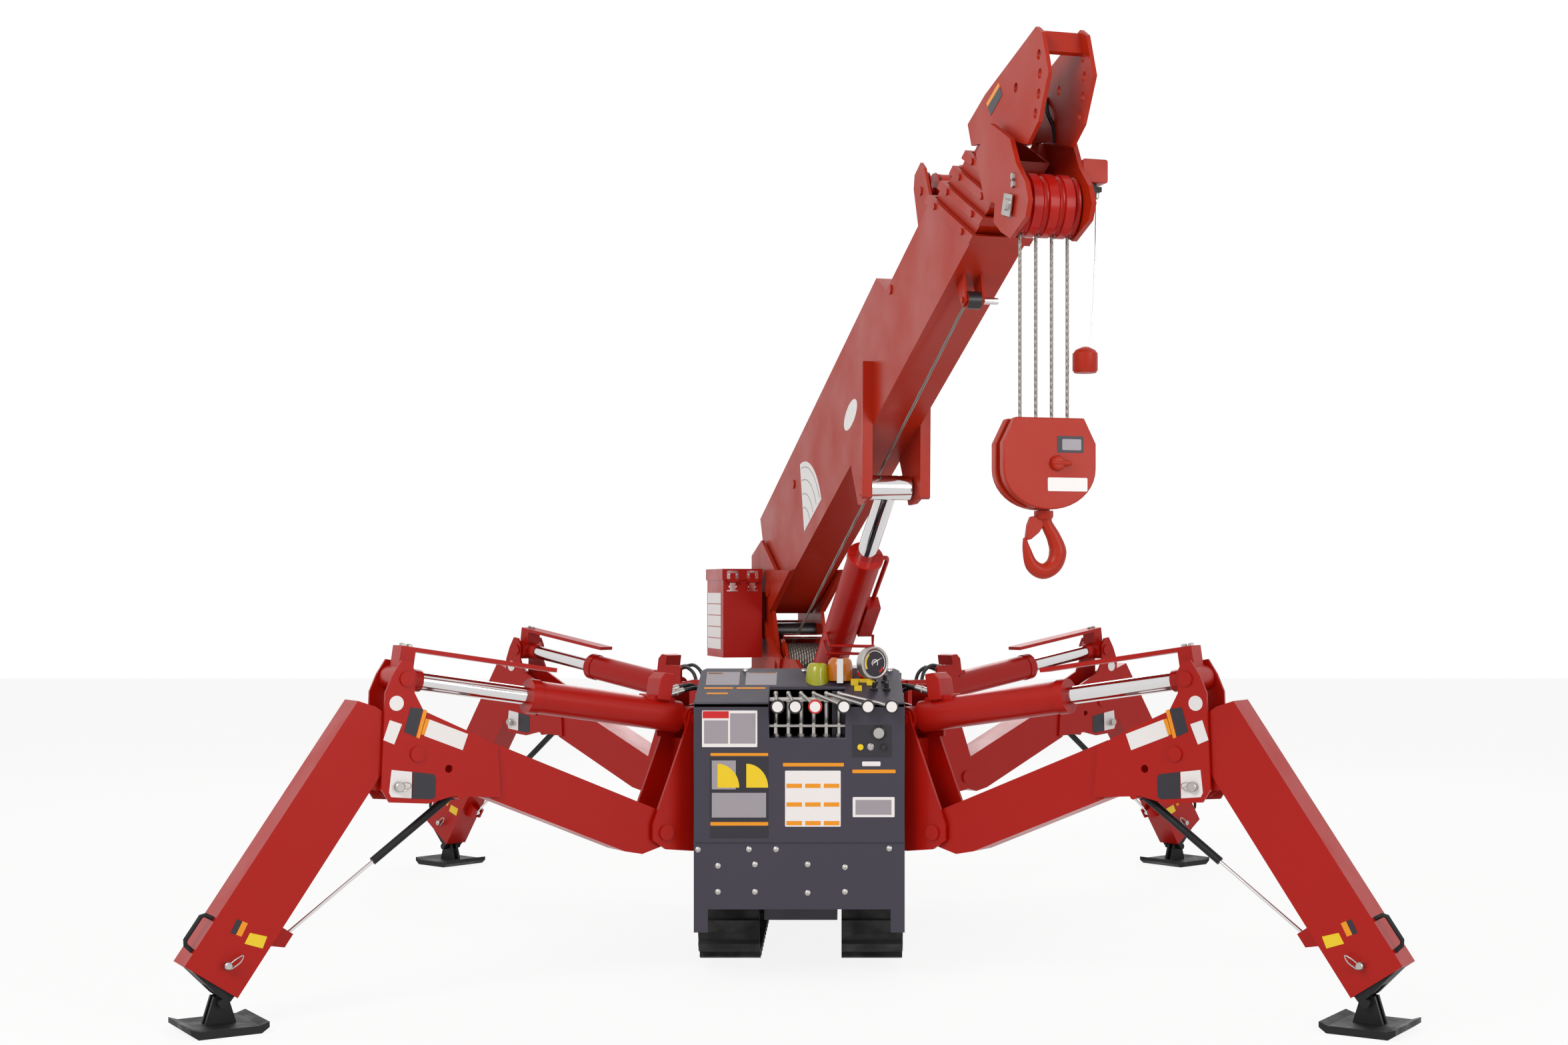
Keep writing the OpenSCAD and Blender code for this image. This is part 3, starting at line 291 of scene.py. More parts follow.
# Sizes of grain, depth and wear in millimetres; orange peel of 1 to 2 mm is drawn at 7 mm so that it shows
finishes = {
    # Two-coat enamel, sprayed and stoved: deep orange red with a soft gloss and faint orange peel
    "sprayed_red_enamel": {"color": "#A80F03", "roughness": 0.34, "shine": 0.24, "coat": 0.06, "grain": 7,
                           "bump": 0.06, "depth": 0.3, "wear": 160},
    # The same enamel on the boom and column, painted a shade browner as painted warm light reflected onto them
    "warm_lit_red_enamel": {"color": "#A52208", "roughness": 0.38, "shine": 0.24, "coat": 0.04, "grain": 7,
                        "bump": 0.06, "depth": 0.3, "wear": 220},
    # Stoved dark enamel of the covers: blue black with a silky gloss
    "stoved_dark_enamel": {"color": "#37323F", "roughness": 0.34, "shine": 0.4, "coat": 0.08, "grain": 6,
                           "bump": 0.05, "depth": 0.2, "wear": 120},
    # Moulded natural rubber: nearly black, matt, with a fine dusty grain
    "moulded_track_rubber": {"color": "#1B1A1A", "roughness": 0.78, "ior": 1.52, "grain": 5, "bump": 0.3,
                             "depth": 0.5, "wear": 60},
    # Black-oxide steel: dark, half matt, slightly mottled
    "blackened_steel": {"color": "#232224", "roughness": 0.5, "metallic": 0.6, "grain": 5, "bump": 0.1,
                        "depth": 0.2, "wear": 60},
    # Ground and hard-chromed rod: a clear mirror with barely any haze
    "hard_chromed_rod": {"color": "#D8D6D6", "roughness": 0.1, "metallic": 1.0, "grain": 4, "bump": 0.02,
                         "depth": 0.05},
    # Zinc-plated steel: a pale grey metal with a soft broken shine
    "zinc_plated_steel": {"color": "#B4B0AC", "roughness": 0.32, "metallic": 1.0, "grain": 3, "bump": 0.08,
                          "depth": 0.1, "wear": 30},
    # Twisted steel wire: grey metal in slanting strands 8 mm apart
    "twisted_wire_rope": {"color": "#8C857E", "roughness": 0.42, "metallic": 0.9, "grain": 8, "bands": True,
                          "bump": 0.9, "depth": 1.2},
    # Moulded lime polycarbonate lens: clear yellow green that lets light into it
    "moulded_lime_lens": {"color": "#C3C411", "roughness": 0.18, "ior": 1.58, "transmission": 0.35,
                          "grain": 6, "bump": 0.12, "depth": 0.4},
    # Moulded amber polycarbonate lens: clear orange, ribbed
    "moulded_amber_lens": {"color": "#E07F0C", "roughness": 0.16, "ior": 1.58, "transmission": 0.35,
                           "grain": 6, "bump": 0.12, "depth": 0.4},
    # Extruded hose cover of synthetic rubber: black with a dull sheen
    "hose_rubber": {"color": "#1A191B", "roughness": 0.46, "ior": 1.52, "grain": 4, "bump": 0.1,
                    "depth": 0.2},
    # Cast vinyl film, printed plain: flat even colours with a weak gloss
    "white_vinyl": {"color": "#E8E4E2", "roughness": 0.4, "ior": 1.46, "grain": 30, "bump": 0.01,
                    "depth": 0.1},
    "grey_vinyl": {"color": "#9A949A", "roughness": 0.42, "ior": 1.46, "grain": 30, "bump": 0.01,
                   "depth": 0.1},
    "orange_vinyl": {"color": "#E8920C", "roughness": 0.4, "ior": 1.46, "grain": 30, "bump": 0.01,
                     "depth": 0.1},
    "dark_vinyl": {"color": "#24222B", "roughness": 0.4, "ior": 1.46, "grain": 30, "bump": 0.01,
                   "depth": 0.1},
    "red_vinyl": {"color": "#C8161C", "roughness": 0.4, "ior": 1.46, "grain": 30, "bump": 0.01, "depth": 0.1},
    # Injection-moulded nylon knobs and buttons: saturated, soft gloss
    "moulded_black_nylon": {"color": "#1D1C1E", "roughness": 0.35, "ior": 1.53, "grain": 4, "bump": 0.03,
                            "depth": 0.1},
    "moulded_red_nylon": {"color": "#C91A12", "roughness": 0.3, "ior": 1.53, "grain": 4, "bump": 0.03,
                          "depth": 0.1},
    "moulded_yellow_nylon": {"color": "#E8C50A", "roughness": 0.35, "ior": 1.53, "grain": 4, "bump": 0.03,
                             "depth": 0.1},
}
finish = {name: makeFinish(name, look) for name, look in finishes.items()}
print("materials made:", len(finish))


# The CAD's own nodes keep their shapes and get their finish
legFinish = {"swing_bracket": "sprayed_red_enamel", "inner_arm": "sprayed_red_enamel",
             "jack_barrel": "sprayed_red_enamel", "jack_rod": "hard_chromed_rod",
             "outer_leg": "sprayed_red_enamel", "inner_leg": "blackened_steel",
             "foot_pad": "blackened_steel", "strut_tube": "blackened_steel", "strut_rod": "hard_chromed_rod"}
# The boom, column, drum, hook block and hook take the browner red, whose brown is painted warm light
nodeFinish = {
    "chassis_frame": "stoved_dark_enamel", "running_gear": "blackened_steel",
    "tracks": "moulded_track_rubber", "console_body": "stoved_dark_enamel",
    "lower_cover": "stoved_dark_enamel", "console_controls": "zinc_plated_steel",
    "beacons": "moulded_amber_lens", "engine_hood": "stoved_dark_enamel", "column": "warm_lit_red_enamel",
    "winch_drum": "warm_lit_red_enamel", "tool_box": "sprayed_red_enamel", "tool_box_lid": "sprayed_red_enamel",
    "base_section": "warm_lit_red_enamel", "section_two": "warm_lit_red_enamel", "section_three": "warm_lit_red_enamel",
    "section_four": "warm_lit_red_enamel", "boom_head": "warm_lit_red_enamel", "head_sheaves": "sprayed_red_enamel",
    "lift_barrel": "sprayed_red_enamel", "lift_rod": "hard_chromed_rod", "hoist_ropes": "twisted_wire_rope",
    "hook_block": "warm_lit_red_enamel", "hook": "warm_lit_red_enamel"}
for corner in corners:
    for part, name in legFinish.items():
        nodeFinish[corner + "_" + part] = name
for nodeName, name in nodeFinish.items():
    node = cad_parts[nodeName]
    if not node.material_slots:
        node.data.materials.append(finish[name])
    for materialSlot in node.material_slots:
        materialSlot.material = finish[name]
print("frame dressed:", len(nodeFinish))


# Console: its housing, with the top's slope as the photograph shows it
console = {"halfWidth": 300, "frontY": -1060, "boxBackY": -992, "backY": -862, "lowZ": 408, "frontZ": 806,
           "backZ": 897, "topThickness": 14, "halfBack": 290, "cut": 14, "recessX": (-86, 131),
           "recessBackY": -970, "recessFloorZ": 706, "coreHalf": 95, "fields": (1.3, 0.7),
           "chartAreas": (1.9, 1.2)}
forward = (0, -1, 0)
rise = (console["backZ"] - console["frontZ"]) / (console["backY"] - console["frontY"])
slopePlace = Matrix(((1, 0, 0, 0), (0, 1, 0, 0),
                     (0, rise, 1, (console["frontZ"] - console["frontY"] * rise) * mm), (0, 0, 0, 1)))


def slopeZ(y):
    return console["frontZ"] + (y - console["frontY"]) * rise


def onFront(x, z):
    return aim(groundPlace, (x, console["frontY"], z), forward)


def makeHousing():
    c = console
    w, y0, y1, y2 = c["halfWidth"], c["frontY"], c["boxBackY"], c["backY"]
    x0, x1 = c["recessX"]
    yr, floor, half, cut = c["recessBackY"], c["recessFloorZ"], c["halfBack"], c["cut"]
    mesh = bmesh.new()
    face = [(-w, c["lowZ"]), (w, c["lowZ"]), (w, c["frontZ"] - 2), (x1, c["frontZ"] - 2), (x1, floor),
            (x0, floor), (x0, c["frontZ"] - 2), (-w, c["frontZ"] - 2)]
    addSlab(mesh, "xz", face, y0, y1)
    top = [(-w, y0), (x0, y0), (x0, yr), (x1, yr), (x1, y0), (w, y0), (half, y2 - cut), (half - cut, y2),
           (cut - half, y2), (-half, y2 - cut)]
    addSlab(mesh, "xy", top, -c["topThickness"], 0, slopePlace)
    wedge = [(y0 + 2, c["frontZ"] - 8), (y1 - 0.5, c["frontZ"] - 8), (y1 - 0.5, slopeZ(y1) - 6)]
    addSlab(mesh, "yz", wedge, 0.5 - w, x0 - 0.5)
    addSlab(mesh, "yz", wedge, x1 + 0.5, w - 0.5)
    addSlab(mesh, "yz", [(yr, c["lowZ"]), (y2, c["lowZ"]), (y2, c["backZ"] - 8), (yr, slopeZ(yr) - 8)],
            -c["coreHalf"], c["coreHalf"])
    addBox(mesh, (-c["coreHalf"], y1 - 2, c["lowZ"] + 1), (c["coreHalf"], yr + 2, floor - 20))
    addBox(mesh, (x0 - 6, y1 - 2, floor - 14), (x1 + 6, yr + 4, floor))
    addBox(mesh, (x0 - 6, yr, floor - 14), (x1 + 6, yr + 8, slopeZ(yr) - 6))
    for x in (x0 - 6, x1):
        addBox(mesh, (x, y1 - 2, floor - 14), (x + 6, yr + 4, slopeZ(y1) - 8))
    addBox(mesh, (-80, y2 - 1, c["lowZ"]), (80, -721, c["lowZ"] + 120))
    housing = finishPiece(mesh, "console_housing", "root", finish["stoved_dark_enamel"], 2.0)
    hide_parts("console_body")


makeHousing()

# Plates of the console: x from, z from, x to, z to on its front face; all of them blank
frontPlates = {
    "white_vinyl": [(-276, 680, -119, 784), (-40, 454, 118, 613), (152, 481, 271, 538),
                    (179, 626, 231, 639)],
    "orange_vinyl": [(-252, 457, -88, 467), (-46, 625, 127, 635), (151, 606, 274, 616),
                     (-252, 655, -88, 663)],
    "dark_vinyl": [(-254, 421, -87, 455), (-254, 469, -87, 651), (150, 651, 263, 743)],
}
frontTouches = {
    "red_vinyl": [(-274, 762, -200, 782)],
    "grey_vinyl": [(-196, 690, -124, 776), (-270, 690, -202, 756), (-248, 560, -180, 642),
                   (-248, 480, -94, 550), (160, 488, 262, 530)],
    "orange_vinyl": [(-36 + 53 * i, 458 + 53 * j, 8 + 53 * i, 470 + 53 * j)
                     for i in range(3) for j in range(3)],
}
# Plates on the sloping top: x from, y from, x to, y to
slopePlates = {
    "grey_vinyl": [(-272, -960, -176, -886), (-158, -960, -68, -886)],
    "orange_vinyl": [(-275, -982, -192, -975), (-182, -982, -99, -975), (-266, -1012, -205, -1005),
                     (-268, -898, -226, -890), (-150, -894, -72, -886)],
    "white_vinyl": [(20, -906, 44, -886)],
}
for name, plates in frontPlates.items():
    mesh = bmesh.new()
    for x0, z0, x1, z1 in plates:
        addSlab(mesh, "xz", roundBox(x0, z0, x1, z1, 2.5), console["frontY"] - film, console["frontY"])
    finishPiece(mesh, "console_front_" + name, "root", finish[name])
for name, plates in frontTouches.items():
    mesh = bmesh.new()
    for x0, z0, x1, z1 in plates:
        addSlab(mesh, "xz", box2(x0, z0, x1, z1), *(console["frontY"] - d for d in console["fields"]))
    finishPiece(mesh, "console_fields_" + name, "root", finish[name])
for name, plates in slopePlates.items():
    mesh = bmesh.new()
    for x0, y0, x1, y1 in plates:
        addSlab(mesh, "xy", roundBox(x0, y0, x1, y1, 2), 0, film, slopePlace)
    finishPiece(mesh, "console_slope_" + name, "root", finish[name])

# Chart sheets on the dark block: a lift chart's two curved yellow areas
mesh = bmesh.new()
for x, z in ((-232, 565), (-150, 565)):
    outline = [(x, z)] + [(x + 62 * math.cos(math.radians(t)), z + 68 * math.sin(math.radians(t)))
                          for t in range(0, 91, 10)]
    addSlab(mesh, "xz", outline, *(console["frontY"] - d for d in console["chartAreas"]))
finishPiece(mesh, "console_chart_areas", "root", finish["moulded_yellow_nylon"])


# Switches, meter and stop button
controls = {"knobX": [-60, -10, 46, 127, 195, 262], "knobY": -1088, "knobZ": 797, "knobFace": 15,
            "redKnob": 2, "stopAt": (181, -923), "meterAt": (226, 720), "capAt": (174, 680),
            "socketAt": (203, 681), "keyAt": (240, 680), "studX": (-160, 10, 262), "studY": -880,
            "switches": [(214, -946), (246, -940), (214, -985), (250, -985)]}
knobProfile = [(0, 21), (17, 21), (20, 18), (20, 2), (18.5, -8), (17.6, -12), (9, -20), (0, -20)]
for name, red in (("moulded_black_nylon", False), ("moulded_red_nylon", True)):
    mesh = bmesh.new()
    for i, x in enumerate(controls["knobX"]):
        if (i == controls["redKnob"]) == red:
            addTurned(mesh, knobProfile, aim(groundPlace, (x, controls["knobY"], controls["knobZ"]), forward))
    finishPiece(mesh, "knobs_" + name, "root", finish[name])
mesh = bmesh.new()
for x in controls["knobX"]:
    faceY = controls["knobY"] - knobProfile[0][1]
    addDisc(mesh, (x, faceY, controls["knobZ"]), forward, controls["knobFace"], 1)
finishPiece(mesh, "knob_faces", "root", finish["white_vinyl"])

slopeUp = (0, -rise, 1)
mesh = bmesh.new()
sx, sy = controls["stopAt"]
addDisc(mesh, (sx, sy, slopeZ(sy) - 2), slopeUp, 8, 18)
addTurned(mesh, [(0, 14), (15, 14), (16, 17), (15, 24), (9, 27), (0, 28)],
          aim(groundPlace, (sx, sy, slopeZ(sy)), slopeUp))
finishPiece(mesh, "stop_button", "root", finish["moulded_red_nylon"])
mesh = bmesh.new()
for x0, x1 in ((-34, -12), (12, 34)):
    addBox(mesh, (sx + x0, sy - 40, 0), (sx + x1, sy - 24, 12), slopePlace)
addBox(mesh, (sx - 34, sy - 24, 0), (sx + 34, sy - 18, 9), slopePlace)
addBox(mesh, (sx - 24, sy - 72, 0), (sx - 2, sy - 58, 10), slopePlace)
capX, capZ = controls["capAt"]
addDisc(mesh, (capX, console["frontY"], capZ), forward, 9, 8, edge=2)
finishPiece(mesh, "yellow_guards", "root", finish["moulded_yellow_nylon"], 0.8)
mesh = bmesh.new()
for x, y in controls["switches"]:
    addTurned(mesh, [(0, -1), (11, -1), (11, 5), (7, 7), (5, 22), (0, 23)],
              aim(groundPlace, (x, y, slopeZ(y)), slopeUp))
addTurned(mesh, [(0, 0), (9, 0), (9, 9), (6, 12), (0, 12)], onFront(*controls["keyAt"]))
addTurned(mesh, [(0, 0), (21, 0), (21, 5), (17, 8), (0, 8)], onFront(*controls["meterAt"]))
finishPiece(mesh, "small_switches", "root", finish["moulded_black_nylon"])
mesh = bmesh.new()
addTurned(mesh, [(0, 8), (15, 8), (15, 8 + film), (0, 8 + film)], onFront(*controls["meterAt"]))
addTurned(mesh, [(0, 0), (10, 0), (10, 4), (6, 7), (0, 7)], onFront(*controls["socketAt"]))
for x in controls["studX"]:
    addTurned(mesh, [(0, -1), (8, -1), (8, 4), (5, 7), (0, 7)],
              aim(groundPlace, (x, controls["studY"], slopeZ(controls["studY"])), slopeUp))
finishPiece(mesh, "plated_bits", "root", finish["zinc_plated_steel"])

# Cross shafts of the levers in the recess
levers = {"count": 6, "upper": (-1004, 812), "upperR": 7, "lower": (-1030, 738), "lowerR": 5}
mesh = bmesh.new()
x0, x1 = console["recessX"]
for shaft in ("upper", "lower"):
    addDisc(mesh, (x0 + 0.5,) + levers[shaft], (1, 0, 0), levers[shaft + "R"], x1 - x0 - 1)
for i in range(levers["count"]):
    x = x0 + (i + 0.5) * (x1 - x0) / levers["count"]
    addDisc(mesh, (x - 6,) + levers["upper"], (1, 0, 0), 12, 12)
    addBox(mesh, (x - 4, -1034, 716), (x + 4, -1024, 746))
finishPiece(mesh, "lever_shafts", "root", finish["zinc_plated_steel"])

# Pressure gauge: bezel, dial, arcs and needle
gauge = {"at": (207, -1056, 919), "turn": 35, "depth": 25, "dialR": 39}
gaugeWay = (math.sin(math.radians(gauge["turn"])), -math.cos(math.radians(gauge["turn"])), 0)
gaugePlace = aim(groundPlace, gauge["at"], gaugeWay)
dialZ, dialR = gauge["depth"] / 2, gauge["dialR"]
mesh = bmesh.new()
addTurned(mesh, [(dialR, dialZ), (dialR, dialZ + 3), (43, dialZ + 5), (47, dialZ + 2), (47, dialZ - 8),
                 (45.2, dialZ - 8), (45.2, dialZ)], gaugePlace, 40, True)
finishPiece(mesh, "gauge_bezel", "root", finish["zinc_plated_steel"])
mesh = bmesh.new()
addTurned(mesh, [(0, dialZ), (dialR, dialZ), (dialR, dialZ + 1), (0, dialZ + 1)], gaugePlace, 40)
finishPiece(mesh, "gauge_dial", "root", finish["dark_vinyl"])


def addArc(mesh, r0, r1, low, high):
    outline = oval(0, 0, r1, r1, 16, low, high) + oval(0, 0, r0, r0, 16, low, high)[::-1]
    addSlab(mesh, "xy", outline, dialZ + film, dialZ + 1.6, gaugePlace)


for name, arcs in (("yellow", [(29, 33, 130, 210)]), ("red", [(27, 33, -60, -25)]),
                   ("white", [(34, 36, -30, 210), (9, 11, -40, 220)])):
    mesh = bmesh.new()
    for arc in arcs:
        addArc(mesh, *arc)
    if name == "white":
        addSlab(mesh, "xy", [(-8, -3), (28, 16), (-4, 4)], dialZ + 1.8, dialZ + 2.4, gaugePlace)
    finishPiece(mesh, "gauge_" + name, "root", finish[{
        "yellow": "moulded_yellow_nylon", "red": "moulded_red_nylon", "white": "white_vinyl"}[name]])

# The two beacons
beacon = {"lime": (50, -930, 915), "amber": (116, -930, 930)}
x, y, top = beacon["lime"]
foot = slopeZ(y) - 16
mesh = bmesh.new()
addTurned(mesh, [(0, foot), (34, foot), (34, foot + 22), (30, top - 14), (26, top - 4), (20, top), (0, top)],
          shift(x, y, 0), 36)
lime = finishPiece(mesh, "lime_beacon", "root", finish["moulded_lime_lens"])
x, y, top = beacon["amber"]
mesh = bmesh.new()
addTurned(mesh, [(0, foot + 14), (35, foot + 14), (36, foot + 20), (36, top - 20), (33, top - 8), (24, top),
                 (0, top)], shift(x, y, 0), 36)
amber = finishPiece(mesh, "amber_beacon", "root", finish["moulded_amber_lens"])
mesh = bmesh.new()
strap = [(-37.5, foot + 8), (-37.5, top - 18), (-30, top - 2), (-20, top + 1.5), (-20, top),
         (-29, top - 4), (-36.2, top - 18), (-36.2, foot + 8)]
addSlab(mesh, "yz", strap, -9, 9, shift(x, y, 0))
addTurned(mesh, [(0, foot), (14, foot), (14, foot + 16), (0, foot + 16)], shift(x, y, 0))
finishPiece(mesh, "amber_strap", "root", finish["hard_chromed_rod"])
for lens in (lime, amber):
    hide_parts("beacons")
print("console dressed")


# Lower cover: round-headed bolts, x and z on its face
coverBolts = [(-288, 388), (-143, 389), (-66, 389), (256, 391), (-231, 342), (-126, 346), (24, 346),
              (130, 338), (-231, 268), (-126, 268), (24, 265), (130, 268)]
coverFrontY = -1054
mesh = bmesh.new()
for x, z in coverBolts:
    addTurned(mesh, [(0, 0), (8, 0), (8, 1.5), (6.5, 2), (6, 5), (3, 7), (0, 7)],
              aim(groundPlace, (x, coverFrontY, z), forward), 20)
finishPiece(mesh, "cover_bolts", "root", finish["zinc_plated_steel"])


# Legs: plates as outlines of r and z on the knee plate, all blank
legPlates = {
    "white_vinyl": [oval(1139, 826, 20, 20),
                    [(1046, 780), (936, 737), (952, 694), (1062, 737)],
                    [(1158, 782), (1124, 770), (1146, 717), (1176, 730)],
                    [(1153, 650), (1096, 642), (1098, 572), (1154, 578), (1160, 590)]],
    "orange_vinyl": [[(1053, 804), (1075, 730), (1084, 734), (1063, 808)],
                     [(1057, 783), (1046, 780), (1060, 739), (1070, 741)]],
    "dark_vinyl": [[(1065, 809), (1086, 735), (1118, 750), (1100, 814)],
                   [(1094, 642), (1034, 633), (1028, 622), (1030, 572), (1040, 566), (1096, 571)]],
}
legTags = {"orange_vinyl": [(598, 136), (634, 131), (637, 146), (600, 151)],
           "dark_vinyl": [(601, 152), (638, 147), (640, 161), (603, 166)],
           "moulded_yellow_nylon": [(601, 73), (632, 66), (645, 114), (615, 117)]}
hitch = {"at": (1135, 605), "radius": 13, "stand": 20}
valveBlock = [(77, 41), (121, 41), (121, 100), (106, 119), (77, 119)]
jackLength = 890.3
kneeHalf, legHalf = 62, 49
hoses = {"across": (-18, 16), "startX": 77, "startZ": 66, "stepZ": 8, "way": (-0.93, 0, 0.36), "diameter": 13}


def makeLeg(corner):
    side = corners[corner]["side"]
    leg, jack, knee = legPlace(corner), jackPlace(corner), kneePlace(corner)
    outward = (0, side, 0)

    for name, outlines in legPlates.items():
        if corner in ("rl", "rr"):
            outlines = {"white_vinyl": [outlines[0]] + outlines[3:], "dark_vinyl": outlines[1:]}.get(name, [])
        if outlines:
            mesh = bmesh.new()
            for outline in outlines:
                addSlab(mesh, "xz", outline, side * kneeHalf, side * (kneeHalf + film), leg)
            finishPiece(mesh, corner + "_knee_" + name, corner + "_inner_arm", finish[name])

    # Hitch pin with its ring, and the small bolts of the guard
    mesh = bmesh.new()
    r, z = hitch["at"]
    stand = hitch["stand"]
    addTurned(mesh, [(0, -6), (9, -6), (9, 4), (hitch["radius"], 4), (hitch["radius"], stand - 2),
                     (hitch["radius"] - 2, stand), (0, stand)], aim(leg, (r, side * kneeHalf, z), outward))
    ring = [(r - 15 + 17 * math.cos(t), side * (kneeHalf + stand - 8 + 5 * math.sin(t)), z + 11 * math.sin(t))
            for t in [2 * math.pi * i / 20 for i in range(20)]]
    addSweep(mesh, ring + ring[:1], 1.8, leg, 8)
    finishPiece(mesh, corner + "_hitch_pin", corner + "_inner_arm", finish["zinc_plated_steel"])

    mesh = bmesh.new()
    for x in (jackLength - 18, jackLength + 2):
        addTurned(mesh, [(0, 86), (9, 86), (9, 93), (6, 95), (0, 95)], jack @ shift(x, 0, 0), 6)
    finishPiece(mesh, corner + "_guard_bolts", corner + "_jack_rod", finish["zinc_plated_steel"])

    # Painted guard strip over the rod and the painted eye of the rod
    mesh = bmesh.new()
    end = jackLength
    guard = [(end - 26, 19), (end + 16, 19), (end + 16, 87), (end - 446, 87), (end - 446, 75),
             (end - 26, 75)]
    addSlab(mesh, "xz", guard, -31, 31, jack)
    addTurned(mesh, [(0, -48.4), (35.2, -48.4), (35.2, 48.4), (0, 48.4)],
              aim(jack, (end, 0, 0), (0, 1, 0)), 36)
    addTurned(mesh, [(0, 0), (29, 0), (30, 2), (30, 30), (0, 30)],
              aim(jack, (end - 62, 0, 0), (1, 0, 0)), 36)
    finishPiece(mesh, corner + "_rod_guard", corner + "_jack_rod", finish["sprayed_red_enamel"])

    # Check-valve block on the barrel, with its fittings and two hoses
    mesh = bmesh.new()
    addSlab(mesh, "xz", valveBlock, -38, 38, jack)
    addBox(mesh, (58, -26, 36), (150, 26, 52), jack)
    finishPiece(mesh, corner + "_valve_block", corner + "_jack_barrel",
                finish["sprayed_red_enamel"], 2.0)
    for index, lateral in enumerate(hoses["across"]):
        start = (hoses["startX"], lateral, hoses["startZ"] - hoses["stepZ"] * index)
        mesh = bmesh.new()
        addTurned(mesh, [(0, -4), (12, -4), (12, 6), (10, 8), (10, 24), (11.5, 26), (11.5, 30), (9.5, 32),
                         (9.5, 50), (0, 50)], aim(jack, start, hoses["way"]), 24)
        finishPiece(mesh, f"{corner}_hose_fitting_{index}", corner + "_jack_barrel",
                    finish["zinc_plated_steel"])
        y, z = start[1:]
        way = Vector(hoses["way"])
        route = smoothPath([Vector(start) + way * 4, Vector(start) + way * 60, (-14, y, z + 30),
                            (-52, y, z + 12), (-70, y, z - 30), (-66, y, z - 72)], 6)
        mesh = bmesh.new()
        addSweep(mesh, route, hoses["diameter"] / 2, jack, 12)
        hose = finishPiece(mesh, f"{corner}_hose_{index}", corner + "_jack_barrel",
                           finish["hose_rubber"])

    # Tags, handle and lower pin of the outer leg
    for name, outline in legTags.items():
        mesh = bmesh.new()
        addSlab(mesh, "xz", outline, side * legHalf, side * (legHalf + film), knee)
        finishPiece(mesh, corner + "_leg_" + name, corner + "_outer_leg", finish[name])
    mesh = bmesh.new()
    grip = [(632, side * 30, 212), (634, side * 30, 236), (642, side * 30, 244), (712, side * 30, 244),
            (722, side * 30, 236), (726, side * 30, 212)]
    addSweep(mesh, grip, 6, knee)
    finishPiece(mesh, corner + "_leg_handle", corner + "_outer_leg", finish["blackened_steel"])
    mesh = bmesh.new()
    addTurned(mesh, [(0, -2), (10, -2), (10, 22), (8, 24), (0, 24)],
              aim(knee, (713, side * legHalf, 124), outward))
    clip = [(713, side * 66, 124), (690, side * 70, 118), (672, side * 68, 106), (690, side * 66, 102),
            (716, side * 64, 112)]
    addSweep(mesh, smoothPath(clip, 5), 1.8, knee, 8)
    finishPiece(mesh, corner + "_leg_pin", corner + "_outer_leg", finish["zinc_plated_steel"])


for corner in corners:
    makeLeg(corner)
print("legs dressed")


# Column: rope on the drum, rollers, box labels and hinges
drum = {"at": (-60, 0, 880), "pitch": 9, "turns": 15, "low": 62, "high": 68, "bolts": 6, "boltCircle": 74,
        "boltFace": 72.2}
mesh = bmesh.new()
first = -drum["pitch"] * drum["turns"] / 2
profile = [(0, first), (drum["low"], first)]
for i in range(drum["turns"]):
    for part, share in ((0.25, 0.8), (0.5, 1.0), (0.75, 0.8), (1.0, 0.0)):
        radius = drum["low"] + (drum["high"] - drum["low"]) * share
        profile.append((radius, first + (i + part) * drum["pitch"]))
profile.append((0, -first))
addTurned(mesh, profile, aim(slewPlace, drum["at"], (0, 1, 0)), 48)
finishPiece(mesh, "drum_rope", "drum", finish["twisted_wire_rope"], smoothAngle=80)
mesh = bmesh.new()
for side in (-1, 1):
    for i in range(drum["bolts"]):
        angle = math.radians(360 / drum["bolts"] * i + 15)
        at = (drum["at"][0] + drum["boltCircle"] * math.cos(angle), side * drum["boltFace"],
              drum["at"][2] + drum["boltCircle"] * math.sin(angle))
        addTurned(mesh, [(0, -1), (6, -1), (6, 3), (0, 3)], aim(slewPlace, at, (0, side, 0)), 6)
finishPiece(mesh, "drum_bolts", "drum", finish["zinc_plated_steel"])
mesh = bmesh.new()
addDisc(mesh, (-150, -74, 988), (0, 1, 0), 27.5, 148, slewPlace, 36, 2)
finishPiece(mesh, "column_roller_sleeve", "column", finish["moulded_black_nylon"])
mesh = bmesh.new()
addDisc(mesh, (5, -77.5, 972), (0, 1, 0), 9, 155, slewPlace, 32)
finishPiece(mesh, "rope_press_bar", "column", finish["hard_chromed_rod"])

toolBox = {"sideT": -247, "labelU": (-384, -186), "labelZ": (924, 1118), "rows": 5, "hingeT": (-215, -147),
           "hingeHalf": 20}
mesh = bmesh.new()
(u0, u1), (z0, z1) = toolBox["labelU"], toolBox["labelZ"]
rowHeight = (z1 - z0) / toolBox["rows"]
for i in range(toolBox["rows"]):
    low = z0 + i * rowHeight
    addSlab(mesh, "xz", roundBox(u0, low + 1.5, u1, low + rowHeight - 1.5, 2), toolBox["sideT"] - film,
            toolBox["sideT"], slewPlace)
finishPiece(mesh, "tool_box_labels", "column", finish["white_vinyl"])
for body, u, z0, z1 in (("column", -150, 1122, 1152), ("lid", -146, 1164, 1192)):
    mesh = bmesh.new()
    for t in toolBox["hingeT"]:
        outline = roundBox(t - toolBox["hingeHalf"], z0, t + toolBox["hingeHalf"], z1, 3)
        addSlab(mesh, "yz", outline, u, u + 1.4, slewPlace)
        for dt in (-12, 12):
            addTurned(mesh, [(0, 1), (3.5, 1), (2.5, 3), (0, 3.4)],
                      aim(slewPlace, (u, t + dt, (z0 + z1) / 2), (1, 0, 0)), 12)
    finishPiece(mesh, "tool_box_hinge_" + body, body, finish["hard_chromed_rod"])

